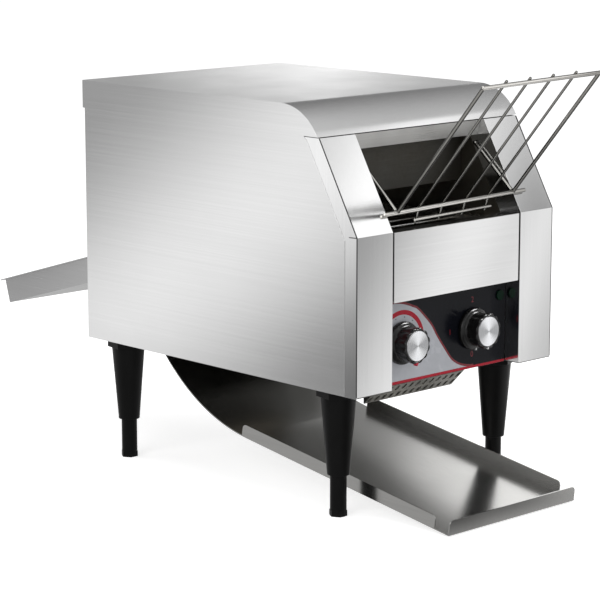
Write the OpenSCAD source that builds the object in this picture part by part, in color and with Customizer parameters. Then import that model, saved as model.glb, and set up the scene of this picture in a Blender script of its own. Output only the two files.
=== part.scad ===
/* [Body] */
// Width of the body over its side panels
body_w = 288; // [276:1:310]
// Depth of the body from the front posts to the rear panel
body_d = 418; // [410:1:450]
// Height of the body from its base to its top
body_h = 283; // [275:1:300]
// Height of the base above the table
base_z = 133; // [128:1:145]
// Thickness of the casing sheet
sheet = 1.2; // [0.8:0.1:1.5]

/* [Front] */
// Width of each polished front post
post_w = 49.8; // [44:0.2:52]
// Depth of a post's flange along the side of the body
post_side = 16.5; // [12:0.5:20]
// Depth of a post's inner return along the feed opening
post_return = 26; // [24:0.5:30]
// Height of the upright part of the front, up to the bend
front_h = 160; // [154:1:166]
// Angle of the sloping front from level
slope_deg = 60; // [55:1:65]
// Depth of the cover's side and rear flanges
cover_drop = 30; // [26:1:34]
// Height of the plain panel under the feed opening
front_panel_h = 70.5; // [66:0.5:78]
// Depth of that panel's turned lips
front_panel_lip = 17; // [12:1:18]
// Gap between that panel and each post
front_panel_gap = 2.2; // [1:0.2:4]
// How far the control panel stands back from the posts
control_recess = 20; // [19:0.5:23]
// Thickness of the printed overlay
overlay_t = 0.5; // [0.3:0.1:0.8]
// Radius of the signal lamp's lens
lamp_r = 4; // [3:0.5:5]

/* [Knobs] */
// Distance of the speed knob from the left front post
speed_in = 32.8; // [32:0.2:40]
// Distance of the selector knob from the right front post
selector_in = 50.6; // [42:0.2:54]
// Height of both knobs above the base
knob_h = 42.3; // [38:0.1:50]
// Radius of a knob's skirt
knob_skirt_r = 22; // [20:0.5:24]
// Radius of a knob's fluted grip
knob_grip_r = 18.5; // [17:0.5:20]
// Radius of the turned metal cap
knob_cap_r = 15.5; // [13:0.5:16]
// Length of a knob from its skirt to its cap
knob_len = 23; // [20:0.5:26]
// Radius of the control spindles
spindle_r = 3; // [2.5:0.1:3.5]

/* [Vent scoop] */
// Width of the slotted scoop under the control panel
scoop_w = 128; // [110:1:140]
// How far the scoop reaches below the base
scoop_drop = 18; // [14:1:20]
// Pitch of its slots
slot_pitch = 10; // [9:0.5:12]
// Width of a slot
slot_w = 4.5; // [3:0.25:5]
// Length of a slot down the slope
slot_l = 8.5; // [7:0.5:9]

/* [Conveyor] */
// Pitch of the conveyor chains
chain_pitch = 12.7; // [12.3:0.1:12.9]
// Teeth on each conveyor sprocket
chain_teeth = 12; // [12]
// Pitches between the two conveyor shafts
chain_span = 23; // [21:1:23]
// Radius of the chain rollers
roller_r = 4.25; // [4:0.05:4.4]
// Distance of the front shaft behind the posts
idler_y = 58; // [56:1:60]
// Height of both shafts above the base
conveyor_h = 122; // [118:1:124]
// Radius of the conveyor shafts
shaft_r = 6; // [5:0.5:7]
// Radius of the conveyor's cross rods
rod_r = 1.5; // [1.25:0.25:2]
// Room beside each conveyor chain, up to the wall of the toasting chamber
belt_side = 14.2; // [13.8:0.2:17]

/* [Drive] */
// Pitch of the drive chain
drive_pitch = 9.525; // [9:0.025:9.6]
// Teeth on the motor and shaft sprockets
drive_teeth = 12; // [12]
// Pitches between the motor shaft and the drive shaft
drive_span = 15; // [14:1:16]
// Height of the motor shaft above the base
motor_h = 40; // [38:1:44]
// Side of the square gearbox
gearbox_w = 60; // [54:1:64]
// Length of the gearbox
gearbox_l = 32; // [26:1:36]
// Length of the motor behind the gearbox
motor_l = 48; // [40:1:56]
// Radius of the motor shaft
motor_shaft_r = 4; // [3.5:0.5:5]
// Side of the square cooling fan
fan_w = 80; // [70:1:84]
// Depth of the cooling fan
fan_t = 25; // [20:1:30]
// Blades on the fan
fan_blades = 7; // [5:1:9]

/* [Heating] */
// Radius of a sheathed heating rod
heater_r = 4; // [3.2:0.2:5]
// Distance of the upper heating rods below the upper reflector
upper_heater_drop = 24; // [20:1:28]
// Distance of the upper reflector below the top
reflector_drop = 45; // [42:1:50]
// Depth of the reflector's front skirt
skirt_h = 52; // [40:1:54]
// Height of the lower reflector above the base
floor_h = 81; // [78:1:84]
// Where the compartment's rear wall stands behind the posts
partition_y = 300; // [290:1:306]

/* [Feed rack] */
// Angle of the rack's wires from level
rack_tilt = 49.6; // [45:0.2:54]
// Length of the wires from the crossbar to the top rod
rack_len = 172; // [150:1:180]
// Distance of the crossbar's ends from the sides of the body
crossbar_inset = 38.6; // [34:0.2:42]
// Radius of the crossbar and top rod
rack_bar_r = 2.2; // [2:0.1:3]
// Radius of the outer wires and their legs
rack_leg_r = 2; // [1.8:0.1:2.4]
// Radius of the inner wires
rack_wire_r = 1.4; // [1.3:0.1:2.2]
// Distance of the outer wires from the walls of the toasting chamber
rack_side = 9.15; // [8:0.05:12]
// How far the rack hangs to the right of the middle
rack_shift = 5; // [0:0.5:5]
// Angle by which the rack hangs askew, its right end higher
rack_skew = 1.2; // [0:0.1:1.5]
// Height of the crossbar up the slope from the bend
crossbar_up = 20.5; // [17:0.5:24]
// Length of the inner wires' tails below the crossbar
rack_tail = 19; // [18:1:22]
// Angle of those tails from level
tail_deg = 70; // [66:1:74]
// Distance of the rack's pivots behind the top of the slope
pivot_back = 8.3; // [7:0.1:9]
// Distance of the rack's pivots below the top of the slope
pivot_drop = 26; // [24:1:28]

/* [Discharge slide] */
// Distance of the slide's edges from the sides of the body
slide_inset = 49.5; // [48:0.5:58]
// Slope of the slide's tray from level
tray_deg = 8.7; // [7:0.1:9.5]
// How far the tray's lip stands in front of the posts
tray_out = 79; // [60:1:90]
// Clearance of the lip above the table
tray_clear = 1.5; // [1:0.1:4]
// Height of the lip
tray_lip_h = 15.4; // [10:0.2:20]
// Height of the tray's side flanges
tray_flange_h = 14; // [8:0.5:18]
// Radius of the slide's curve
slide_r = 220; // [210:1:230]
// Where the curve begins behind the posts
curve_y = 216; // [205:1:225]

/* [Rear chute] */
// Distance of the chute's edges from the sides of the body
chute_inset = 49; // [48:0.5:58]
// Length of the chute's floor
chute_len = 218; // [150:1:240]
// Slope of the chute from level
chute_deg = 16.3; // [12:0.1:18]
// Height of the chute's walls
chute_wall = 27; // [20:0.5:34]
// Width of the turned hem on the walls
chute_hem = 7; // [4:0.5:10]
// Height of the rear outlet's sill above the base
sill_h = 63.8; // [62:0.2:66]
// Height of the rear outlet
outlet_h = 48; // [40:1:52]

/* [Legs] */
// Distance of a leg's axis from the side of the body
leg_inset = 27.7; // [24:0.1:29]
// Distance of the front legs' axes behind the posts
leg_front_y = 53; // [46:0.5:56]
// Distance of the rear legs' axes from the rear of the body
leg_rear_inset = 35; // [34:0.2:44]
// Width of the leg's hexagonal collar over its flats
collar_af = 39; // [34:0.5:40]
// Radius of the leg under its collar
leg_top_r = 18; // [16:0.5:18.5]
// Radius of the leg at its lower end
leg_low_r = 11.5; // [10:0.5:12.5]
// How far the screwed foot stands out of the leg
foot_out = 43; // [30:1:48]
// Radius of the screwed foot
foot_r = 8.5; // [7:0.25:9.5]

/* [Hidden] */

$fn = 48;
eps = 0.01;
touch = 0.3;       // clearance between faces of pieces that pass close by
running = 0.06;    // radial clearance of a shaft or pin in its bore
seam = 0.4;        // visible gap between two butted sheets
sheet_fit = 0.2;   // clearance of a sheet that slips between two others

// Casing
half_w = body_w / 2;
top_z = base_z + body_h;
deck_z = base_z + sheet;                     // top face of the base plate
bend_z = base_z + front_h;
arc_r = cover_drop / (1 - cos(slope_deg));   // bend radius that runs the slope into the flat top
slope_top_z = top_z - cover_drop;
slope_top_y = (slope_top_z - bend_z) / tan(slope_deg);
arc_y = slope_top_y + arc_r * sin(slope_deg);
arc_z = top_z - arc_r;
inner_x = half_w - sheet;                    // inner face of a side panel
post_x = half_w - post_w;                    // inner edge of a front post
wall_x = post_x + sheet;                     // inner face of a side wall of the toasting chamber
rear_y = body_d - sheet;                     // inner face of the rear panel
cover_gap = 0.8;                             // shadow gap under the cover's front edge
wall_back = sheet + 6;                       // how far a chamber wall stands behind the front
tab_margin = 11;                             // distance of a panel's fixing tabs from its ends
lip_back = 8;                                // how far the side panel's joggle passes behind the post
base_lip = 14;                               // height of the base plate's side flanges

// Front and controls
front_panel_z = bend_z - 0.5;                // the panel stops just short of the bend
front_panel_low = front_panel_z - front_panel_h;
front_panel_half = post_x - front_panel_gap;
control_half = post_x - sheet_fit;
control_back = control_recess + sheet;
control_top = front_panel_low + 2;
control_flange = 6;
overlay_y = control_recess - overlay_t;
overlay_half = control_half - 0.5;
overlay_low = base_z + 0.2;
speed_x = post_x - speed_in;                 // distance of the speed knob left of the centre
selector_x = post_x - selector_in;           // distance of the selector knob right of the centre
knob_z = base_z + knob_h;
knob_back_y = overlay_y - 0.5;
knob_cap_t = 3;
cap_dish = 0.6;                              // depth of the dished middle of a cap
cap_rim = 1.6;
knob_skirt_t = 6;
knob_hollow_r = knob_skirt_r - 3;
knob_hollow_t = 3.5;
flutes = 16;
flute_r = 2.2;
flute_out = 0.8;                             // how far a flute's axis lies outside the grip
bush_r = 5;                                  // threaded bush of a control
bush_fit = 0.2;
nut_t = 2.5;
bush_nut_r = 8;
regulator_w = 34;
regulator_d = 22;
switch_w = 44;
switch_d = 40;
lamp_bezel = 1.5;
spindle_back = control_back + 12;            // rear end of a spindle
spindle_grip = 14;                           // length of spindle inside a knob
spindle_front = knob_back_y - spindle_grip;
lamp_x = post_x - 9.2;
lamp_z = knob_z + 29.7;

// Vent scoop
scoop_x = -control_half;
scoop_y = control_recess + 2;
scoop_side = scoop_drop * sqrt(2);
slot_margin = (scoop_w - slot_pitch * floor(scoop_w / slot_pitch - 0.6)) / 2;
slot_row = scoop_side / 4;

// Conveyor
conveyor_z = base_z + conveyor_h;
belt_w = 2 * (wall_x - belt_side);           // space between the chains' inner plates
chain_pitch_r = chain_pitch / 2 / sin(180 / chain_teeth);
drive_y = idler_y + chain_span * chain_pitch;
plate_t = 1.3;
chain_gap = 7.75;                            // between the plates of one chain
chain_x = belt_w / 2 + plate_t + chain_gap / 2;
plate_r = 5.9;
plate_waist = 7;
sprocket_t = 7;
tip_clear = 3.4;                             // how far a tooth passes the pitch circle
hub_r = shaft_r + 5;
hub_t = 14;
bearing_r = shaft_r + 3;
bearing_flange_r = shaft_r + 6;
bearing_flange_t = 1.6;
bearing_out = 8;                             // how far a bearing passes outside its wall
shaft_end = wall_x + sheet + bearing_out + 1;

// Drive
motor_z = base_z + motor_h;
drive_pitch_r = drive_pitch / 2 / sin(180 / drive_teeth);
drive_len = drive_span * drive_pitch;
drive_angle = asin((conveyor_z - motor_z) / drive_len);   // rise of the drive chain from level
motor_y = drive_y - drive_len * cos(drive_angle);
drive_x = wall_x + 18;
drive_roller_r = 3.1;
drive_gap = 5.7;
drive_plate_t = 1;
drive_plate_r = 4.1;
drive_waist = 5;
drive_sprocket_t = 5;
drive_hub_r = 9;
drive_hub_t = 8;
gearbox_x = wall_x;                          // the gearbox is bolted to the right wall
motor_x = gearbox_x - gearbox_l;             // face where the motor joins the gearbox
motor_r = gearbox_w / 2 - 1;
motor_cap_r = 17;
motor_cap_t = 6;
motor_bore_x = gearbox_x - 19;               // inner end of the motor shaft
fan_side = 7.4;                              // room between the fan and the left wall
fan_x = -(wall_x - fan_w / 2 - fan_side);
fan_y = 110;
fan_hub_r = 16;
fan_pin_r = 3;
fan_bore_r = fan_w / 2 - 3;
fan_blade_r = fan_bore_r - 1.2;
fan_blade_w = 16;
fan_blade_t = 1.4;
fan_blade_deg = 38;
fan_arm_w = 4;
fan_arm_t = 3;
fan_hub_h = fan_t - 7;
fan_boss_z = fan_t - 12;                     // lower end of the boss that carries the rotor's pin
grille_pitch = 8;
grille_slot = 4.4;

// Heating
reflector_z = top_z - reflector_drop;
upper_heater_z = reflector_z - upper_heater_drop;
upper_heater_front = 150;
lower_heater_front = 128;
heater_pitch = 75;
upper_heater_y = [for (i = [0:2]) upper_heater_front + i * heater_pitch];
lower_heater_y = [for (i = [0:2]) lower_heater_front + i * heater_pitch];
heater_end = wall_x + sheet + 14;
insulator_r = heater_r + 4;
insulator_t = 7;
terminal_r = 2;
terminal_l = 7;
reflector_back = body_d - 28;
floor_z = base_z + floor_h;
floor_front = control_back + control_flange;
floor_lip = 8;
baffle_y = slope_top_y + 3;
skirt_back = 28.3;                           // how far the reflector's skirt stands behind the baffle
skirt_y = baffle_y + skirt_back;
baffle_drop = 16;
baffle_gap = 1.5;
baffle_deg = 70;

// Feed rack
pivot_y = slope_top_y + pivot_back;
pivot_z = slope_top_z - pivot_drop;
rack_pitch = (wall_x - rack_side) / 2.5;     // pitch of the six wires
crossbar_half = half_w - crossbar_inset;
pivot_leg_x = 2.5 * rack_pitch;              // outer wires and inner legs stand on these planes
pivot_end = wall_x + sheet + 3;
crossbar_out = rack_bar_r + touch;           // axis of the crossbar off the slope's face
crossbar_y = crossbar_up * cos(slope_deg) - crossbar_out * sin(slope_deg);
crossbar_z = bend_z + crossbar_up * sin(slope_deg) + crossbar_out * cos(slope_deg);
rack_top_y = crossbar_y - rack_len * cos(rack_tilt);
rack_top_half = pivot_leg_x + rack_bar_r;
rack_nub = 3;                                // how far the inner wires pass the top rod
rack_weld = 0.4;                             // how deep crossing wires sink into each other
rack_wire_off = rack_bar_r + rack_wire_r - rack_weld;
rack_bar_at = 0.7;                           // place of the short bar along the tails
rack_bar_short = 1.5 * rack_pitch + 6;

// Discharge slide
slide_half = half_w - slide_inset;
tray_low_z = tray_clear;
tray_l = (tray_out + curve_y) / cos(tray_deg);
curve_z = tray_low_z + (tray_out + curve_y) * tan(tray_deg);
hook_top_z = base_z - 2;                     // top face of the slide's hooked edge
curve_end = acos(cos(tray_deg) - (hook_top_z - curve_z) / slide_r);
curve_c_y = curve_y - slide_r * sin(tray_deg);
curve_c_z = curve_z + slide_r * cos(tray_deg);
hook_y = curve_c_y + slide_r * sin(curve_end);
hook_l = 14;
hook_lap = 1.2 * sheet;                      // overlap of the level hook with the curve
hanger_w = 34;
hanger_fit = 0.4;                            // clearance under the hooked edge
hanger_lap = 4;                              // how far the ledge starts behind the hook
tray_flange_end = 20;                        // gap between the flanges and the front lip
tray_flange_back = 6;                        // how far the flanges pass behind the start of the curve
tray_corner = 5;
lip_deg = 96;                                // angle of the front lip from level
lip_half = slide_half - touch;

// Base opening and deflector
drop_back_y = hook_y + 2;
drop_front_y = partition_y + 5;
drop_half = slide_half + 0.5;
sill_z = base_z + sill_h;
deflector_top_z = sill_z - 9;
deflector_half = wall_x - sheet_fit;
deflector_flange = 20;

// Rear chute
chute_half = half_w - chute_inset;
outlet_half = chute_half - 3;
tongue_half = outlet_half - 2;
chute_hook = 8;
chute_back = 25;
chute_y = body_d + touch;

// Legs
leg_x = half_w - leg_inset;
leg_rear_y = body_d - leg_rear_inset;
collar_t = 9;
collar_turn = 20;                            // how far a leg's collar is screwed round
leg_neck_z = foot_out;
foot_pad_t = 6;
foot_pad_r = foot_r * 1.12;
stud_r = 4;
leg_nut_r = 7.5;
leg_nut_t = 6;
foot_travel = 24;                            // how far a foot can be screwed up into its leg
stem_in = 30;                                // length of a foot's stem inside its leg
foot_stem_top = foot_out + stem_in;

// Louvres and cord entry of the rear panel
louvres = 8;
louvre_x = 60;
louvre_up = 40;                              // distance of the lowest louvres above the outlet
louvre_z = sill_z + outlet_h + louvre_up;
louvre_pitch = 9;
louvre_l = 70;
louvre_w = 4;
gland_x = leg_x + 2;
gland_h = 52;
gland_z = base_z + gland_h;
gland_r = 8;
gland_bore = 4;
gland_in = 8;
gland_out = 14;
gland_nut_r = 12;
gland_nut_t = 5;

// Panel screws
screw_inset = 12;
screw_head_r = 4;
screw_head_t = 2.2;

// Terminal block and leads
block_side = 15.4;                           // room between the terminal block and the left wall
block_x = -(wall_x - block_side);
block_y = 244;
block_l = 50;
block_d = 20;
block_h = 16;
block_floor = 5;
block_ways = 4;
harness_y = 268;
harness_h = 46;
harness_z = base_z + harness_h;
harness_r = 2.5;
harness_hole_r = 7;
branch_r = 2.3;
harness_end = 4;                             // how far the bundle passes its last lead
lead_r = 1.2;
lead_drop = 20;                              // how far the bundle runs below the rods' terminals

// Overall box, which sets the origin midway along Y
front_end = rack_top_y - rack_bar_r - rack_top_half * tan(rack_skew) * cos(slope_deg);
rear_end = body_d + chute_len * cos(chute_deg) + chute_wall * sin(chute_deg);
mid_y = (front_end + rear_end) / 2;

// ---- helpers ----

// Moves a piece from the front-post datum to the origin under the middle of the toaster
module seated() translate([0, -mid_y, 0]) children();

// Extrudes an outline drawn as (depth, height) along X, from x over a width w
module across(x, w) translate([x, 0, 0]) rotate([90, 0, 90]) linear_extrude(w) children();

// Extrudes an outline drawn as (width, height) back along Y, from y over a depth d
module backwards(y, d) translate([0, y + d, 0]) rotate([90, 0, 0]) linear_extrude(d) children();

// A box between two corners
module span(a, b) translate(a) cube(b - a);

// A cylinder along X between two ends
module bar_x(x0, x1, y, z, r) translate([x0, y, z]) rotate([0, 90, 0]) cylinder(h = x1 - x0, r = r);

// A cylinder along Y between two ends
module bar_y(y0, y1, x, z, r) translate([x, y0, z]) rotate([-90, 0, 0]) cylinder(h = y1 - y0, r = r);

// A round rod between any two points
module rod(a, b, r) {
    d = b - a;
    l = norm(d);
    translate(a) rotate([0, acos(d[2] / l), atan2(d[1], d[0])]) cylinder(h = l, r = r);
}

// A bundle of leads that follows a list of points, tied into a ball at each corner
module tied_bundle(pts, r) {
    for (i = [0:len(pts) - 2]) rod(pts[i], pts[i + 1], r);
    for (i = [1:len(pts) - 2]) translate(pts[i]) sphere(r = r + 0.3);
}

// A slot with round ends, centred, its length along the first axis
module round_slot(l, w) {
    square([l - w, w], center = true);
    for (s = [-1, 1]) translate([s * (l - w) / 2, 0]) circle(d = w);
}

// Side outline of the body drawn as (depth, height), moved in by d from its front, slope and top
module side_outline(d, low, rear) {
    corner_y = slope_top_y + d * sin(slope_deg) + (cover_drop - d * (1 - cos(slope_deg))) / tan(slope_deg);
    arc_c = [arc_y, arc_z];
    difference() {
        polygon([[d, low], [d, bend_z - d * tan((90 - slope_deg) / 2)], [corner_y, top_z - d],
            [rear, top_z - d], [rear, low]]);
        difference() {
            polygon([arc_c, arc_c + 2 * arc_r * [-sin(slope_deg), cos(slope_deg)],
                arc_c + [0, 2 * arc_r]]);
            translate(arc_c) circle(r = arc_r - d, $fn = 96);
        }
    }
}

// Strip of the front's side outline, w wide, from height low up to the cover
module front_strip(w, low) {
    intersection() {
        difference() {
            side_outline(0, low, body_d);
            side_outline(w, low - 1, body_d + 1);
        }
        translate([-1, low]) square([arc_y, slope_top_z - cover_gap - low]);
    }
}

// Mirrors a right-hand piece to the left
module left_hand() mirror([1, 0, 0]) children();

// ---- casing ----

module base_plate() seated() color("silver") {
    difference() {
        union() {
            span([-inner_x, control_back, base_z], [inner_x, rear_y, deck_z]);
            for (s = [0, 1]) mirror([s, 0, 0]) {
                span([wall_x + sheet, sheet, base_z], [inner_x, control_back + 1, deck_z]);
                span([inner_x - sheet, post_side + lip_back + 2, base_z],
                    [inner_x, rear_y - 2, deck_z + base_lip]);
            }
        }
        span([-drop_half, drop_front_y, base_z - 1], [drop_half, drop_back_y, deck_z + 1]);
        translate([fan_x, fan_y, base_z - 1]) linear_extrude(sheet + 2) fan_grille();
        for (x = [-leg_x, leg_x]) for (y = [leg_front_y, leg_rear_y])
            translate([x, y, base_z - 1]) cylinder(h = sheet + 2, r = stud_r + touch);
    }
    for (s = [0, 1]) mirror([s, 0, 0]) slide_hanger();
}

// Rings of curved slots under the fan
module fan_grille() difference() {
    for (r = [grille_pitch:grille_pitch:fan_bore_r - grille_slot]) difference() {
        circle(r = r + grille_slot / 2);
        circle(r = r - grille_slot / 2);
    }
    for (k = [0:1]) rotate(k * 90 + 45) square([2 * fan_w, grille_slot], center = true);
}

// Channel under the base that holds the hooked edge of the slide
module slide_hanger() {
    x0 = slide_half - hanger_w;
    ledge_top = hook_top_z - sheet - hanger_fit;
    web_y = hook_y + hook_l + 1;
    span([x0, hook_y + hanger_lap, ledge_top - sheet], [slide_half, web_y + sheet, ledge_top]);
    span([x0, web_y, ledge_top - sheet], [slide_half, web_y + sheet, base_z + eps]);
}

module side_panel() color("gainsboro") {
    d = post_side + seam;
    across(inner_x, sheet) difference() {
        union() {
            side_outline(d, base_z, body_d);
            translate([arc_y, top_z - d - 1]) square([body_d - arc_y, d + 1 - sheet - touch]);
        }
    }
    across(inner_x - sheet, sheet) intersection() {
        difference() {
            side_outline(sheet + touch, deck_z, body_d);
            side_outline(d + lip_back, deck_z - 1, body_d + 1);
        }
        translate([0, deck_z]) square([arc_y, slope_top_z - cover_gap - deck_z]);
    }
}
module right_side_panel() seated() side_panel();
module left_side_panel() seated() left_hand() side_panel();

module front_post() color("whitesmoke") difference() {
    union() {
        across(post_x, post_w) front_strip(sheet, deck_z);
        across(inner_x, sheet) front_strip(post_side, base_z);
        across(post_x, sheet) front_strip(post_return, deck_z);
    }
    bar_x(post_x - 1, wall_x + 1, pivot_y, pivot_z, rack_bar_r + running);
}
module right_front_post() seated() front_post();
module left_front_post() seated() left_hand() front_post();

module top_cover() seated() color("silver") {
    rear = body_d + touch + sheet;
    across(-half_w - touch - sheet, body_w + 2 * (touch + sheet)) intersection() {
        difference() {
            side_outline(0, base_z, rear);
            side_outline(sheet, base_z - 1, rear - sheet);
        }
        translate([0, slope_top_z]) square([rear, cover_drop]);
    }
    for (x = [-half_w - touch - sheet, half_w + touch]) across(x, sheet) intersection() {
        side_outline(0, base_z, rear);
        translate([0, slope_top_z]) square([rear, cover_drop]);
    }
}

module rear_panel() seated() color("silver") difference() {
    span([-inner_x, rear_y, base_z], [inner_x, body_d, top_z - sheet - touch]);
    span([-outlet_half, rear_y - 1, sill_z], [outlet_half, body_d + 1, sill_z + outlet_h]);
    for (s = [-1, 1]) for (i = [0:louvres - 1]) backwards(rear_y - 1, sheet + 2)
        translate([s * louvre_x, louvre_z + i * louvre_pitch]) round_slot(louvre_l, louvre_w);
    bar_y(rear_y - 1, body_d + 1, -gland_x, gland_z, gland_r + touch);
}

module front_panel() seated() color("whitesmoke") {
    h0 = front_panel_low;
    span([-front_panel_half, 0, h0], [front_panel_half, sheet, front_panel_z]);
    span([-front_panel_half, 0, front_panel_z - sheet],
        [front_panel_half, front_panel_lip, front_panel_z]);
    span([-front_panel_half, 0, h0], [front_panel_half, control_recess, h0 + sheet]);
    for (s = [0, 1]) mirror([s, 0, 0]) {
        span([front_panel_half - sheet, 0, h0], [front_panel_half, front_panel_lip, front_panel_z]);
        span([front_panel_half - sheet, front_panel_lip - sheet, h0 + tab_margin],
            [post_x - sheet_fit / 2, front_panel_lip, front_panel_z - tab_margin]);
    }
}

module control_panel() seated() color("dimgray") difference() {
    union() {
        span([-control_half, control_recess, base_z], [control_half, control_back, control_top]);
        for (s = [0, 1]) mirror([s, 0, 0])
            span([control_half - sheet, control_recess, deck_z + 2],
                [control_half, control_back + control_flange - sheet, control_top]);
    }
    for (x = [-speed_x, selector_x])
        bar_y(control_recess - 1, control_back + 1, x, knob_z, bush_r + bush_fit);
    bar_y(control_recess - 1, control_back + 1, lamp_x, lamp_z, lamp_r + bush_fit);
}

module control_overlay() seated() color("slategray") difference() {
    span([-overlay_half, overlay_y, overlay_low],
        [overlay_half, control_recess, front_panel_low - overlay_t]);
    for (x = [-speed_x, selector_x])
        bar_y(overlay_y - 1, control_recess + 1, x, knob_z, bush_r + bush_fit);
    bar_y(overlay_y - 1, control_recess + 1, lamp_x, lamp_z, lamp_r + bush_fit);
}

// Slanted slotted plate, with a back and two ends, hung under the front edge of the base
module vent_scoop() seated() color("silver") {
    translate([scoop_x, scoop_y, base_z]) {
        rotate([-45, 0, 0]) translate([0, 0, -sheet]) linear_extrude(sheet) difference() {
            square([scoop_w, scoop_side]);
            for (x = [slot_margin:slot_pitch:scoop_w - slot_margin + eps])
                for (row = [1, 3]) translate([x, row * slot_row]) rotate(90) round_slot(slot_l, slot_w);
        }
        translate([0, scoop_drop - sheet, -scoop_drop]) cube([scoop_w, sheet, scoop_drop]);
        lap = sheet / 3;
        for (x = [0, scoop_w - sheet]) across(x, sheet) polygon([[-lap, -lap], [0, 0], [scoop_drop, 0],
            [scoop_drop, -scoop_drop], [scoop_drop - lap, -scoop_drop - lap]]);
    }
}

// ---- toasting chamber ----

module inner_wall(is_right) color("lightgray") difference() {
    across(wall_x, sheet) side_outline(wall_back, deck_z, rear_y);
    for (y = [idler_y, drive_y]) wall_hole(y, conveyor_z, bearing_r);
    for (y = upper_heater_y) wall_hole(y, upper_heater_z, insulator_r);
    for (y = lower_heater_y) wall_hole(y, conveyor_z, insulator_r);
    wall_hole(pivot_y, pivot_z, rack_bar_r + 1);
    if (is_right) wall_hole(motor_y, motor_z, motor_shaft_r + 4);
    else wall_hole(harness_y, harness_z, harness_hole_r);
}
module wall_hole(y, z, r) bar_x(wall_x - 1, wall_x + sheet + 1, y, z, r);
module right_inner_wall() seated() inner_wall(true);
module left_inner_wall() seated() left_hand() inner_wall(false);

// Bent strip behind the cover's front edge, running back to the reflector
module front_baffle() seated() color("darkgray") {
    high_z = slope_top_z - baffle_gap;
    low_y = baffle_y + baffle_drop * cos(baffle_deg);
    low_z = high_z - baffle_drop;
    across(-control_half, 2 * control_half) polygon([[baffle_y, high_z], [low_y, low_z],
        [skirt_y, low_z], [skirt_y, low_z + sheet], [low_y + sheet, low_z + sheet],
        [baffle_y + sheet, high_z]]);
}

module upper_reflector() seated() color("darkgray") {
    w = wall_x - sheet_fit;
    span([-w, skirt_y, reflector_z - skirt_h], [w, skirt_y + sheet, reflector_z]);
    span([-w, skirt_y, reflector_z - sheet], [w, reflector_back, reflector_z]);
    span([-w, reflector_back - sheet, reflector_z - skirt_h / 2], [w, reflector_back, reflector_z]);
}

module lower_reflector() seated() color("darkgray") {
    w = wall_x - sheet_fit;
    span([-w, floor_front, floor_z], [w, partition_y + sheet, floor_z + sheet]);
    span([-w, floor_front, floor_z], [w, floor_front + sheet, floor_z + floor_lip]);
    span([-w, partition_y, deck_z], [w, partition_y + sheet, floor_z + sheet]);
}

// Sloping sheet that turns falling toast forward through the base
module drop_deflector() seated() color("silver") across(-deflector_half, 2 * deflector_half) {
    low = [drop_back_y + 1, deck_z];
    top = [rear_y - 3 * sheet, deflector_top_z];
    thick = sheet / sin(atan2(top[1] - low[1], top[0] - low[0]));
    polygon([low, top, [rear_y, top[1]], [rear_y, top[1] - deflector_flange],
        [rear_y - sheet, top[1] - deflector_flange], [rear_y - sheet, top[1] - sheet],
        [top[0] + thick / 2, top[1] - sheet], [low[0] + thick, deck_z]]);
}

module heater(y, z) {
    bar_x(-heater_end, heater_end, y, z, heater_r);
    for (s = [0, 1]) mirror([s, 0, 0]) bar_x(heater_end - eps, heater_end + terminal_l, y, z, terminal_r);
}
module upper_heaters() seated() color("dimgray") for (y = upper_heater_y) heater(y, upper_heater_z);
module lower_heaters() seated() color("dimgray") for (y = lower_heater_y) heater(y, conveyor_z);

// Ceramic bushes that carry the heating rods in both walls
module heater_insulators() seated() color("ivory")
    for (s = [0, 1]) mirror([s, 0, 0]) {
        for (y = upper_heater_y) insulator(y, upper_heater_z);
        for (y = lower_heater_y) insulator(y, conveyor_z);
    }
module insulator(y, z) difference() {
    union() {
        bar_x(wall_x, wall_x + sheet + 0.1, y, z, insulator_r);
        bar_x(wall_x + sheet, wall_x + sheet + insulator_t, y, z, insulator_r + 2);
    }
    bar_x(wall_x - 1, wall_x + sheet + insulator_t + 1, y, z, heater_r);
}

// ---- conveyor ----

// Places of the rollers of a chain that runs round two equal sprockets, as (along, up)
function loop_points(pitch, r, teeth, n) = concat(
    [for (i = [0:n]) [i * pitch, r]],
    [for (k = [1:teeth / 2 - 1]) [n * pitch + r * sin(k * 360 / teeth), r * cos(k * 360 / teeth)]],
    [for (i = [0:n]) [(n - i) * pitch, -r]],
    [for (k = [1:teeth / 2 - 1]) [-r * sin(k * 360 / teeth), -r * cos(k * 360 / teeth)]]);

// Outline of the joined link plates of a chain
module link_plates(pts, r, waist) {
    n = len(pts);
    for (i = [0:n - 1]) {
        step = pts[(i + 1) % n] - pts[i];
        translate(pts[i]) {
            circle(r = r, $fn = 24);
            rotate(atan2(step[1], step[0])) translate([0, -waist / 2]) square([norm(step), waist]);
        }
    }
}

// A closed roller chain, its mid-plane at x
module chain_loop(pts, x, gap, t, plate, waist, roller) {
    for (side = [-gap / 2 - t, gap / 2]) across(x + side, t) link_plates(pts, plate, waist);
    for (p = pts) bar_x(x - gap / 2 - eps, x + gap / 2 + eps, p[0], p[1], roller);
}

// A toothed wheel drawn flat, with its teeth between the rollers
module sprocket_outline(teeth, r, roller, bore) {
    seat = roller + touch;
    tip = r + tip_clear;
    difference() {
        circle(r = tip, $fn = 96);
        for (k = [0:teeth - 1]) rotate(k * 360 / teeth) {
            translate([r, 0]) circle(r = seat);
            polygon([[r, -seat], [tip + 1, -seat - 2], [tip + 1, seat + 2], [r, seat]]);
        }
        circle(r = bore);
    }
}

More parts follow.
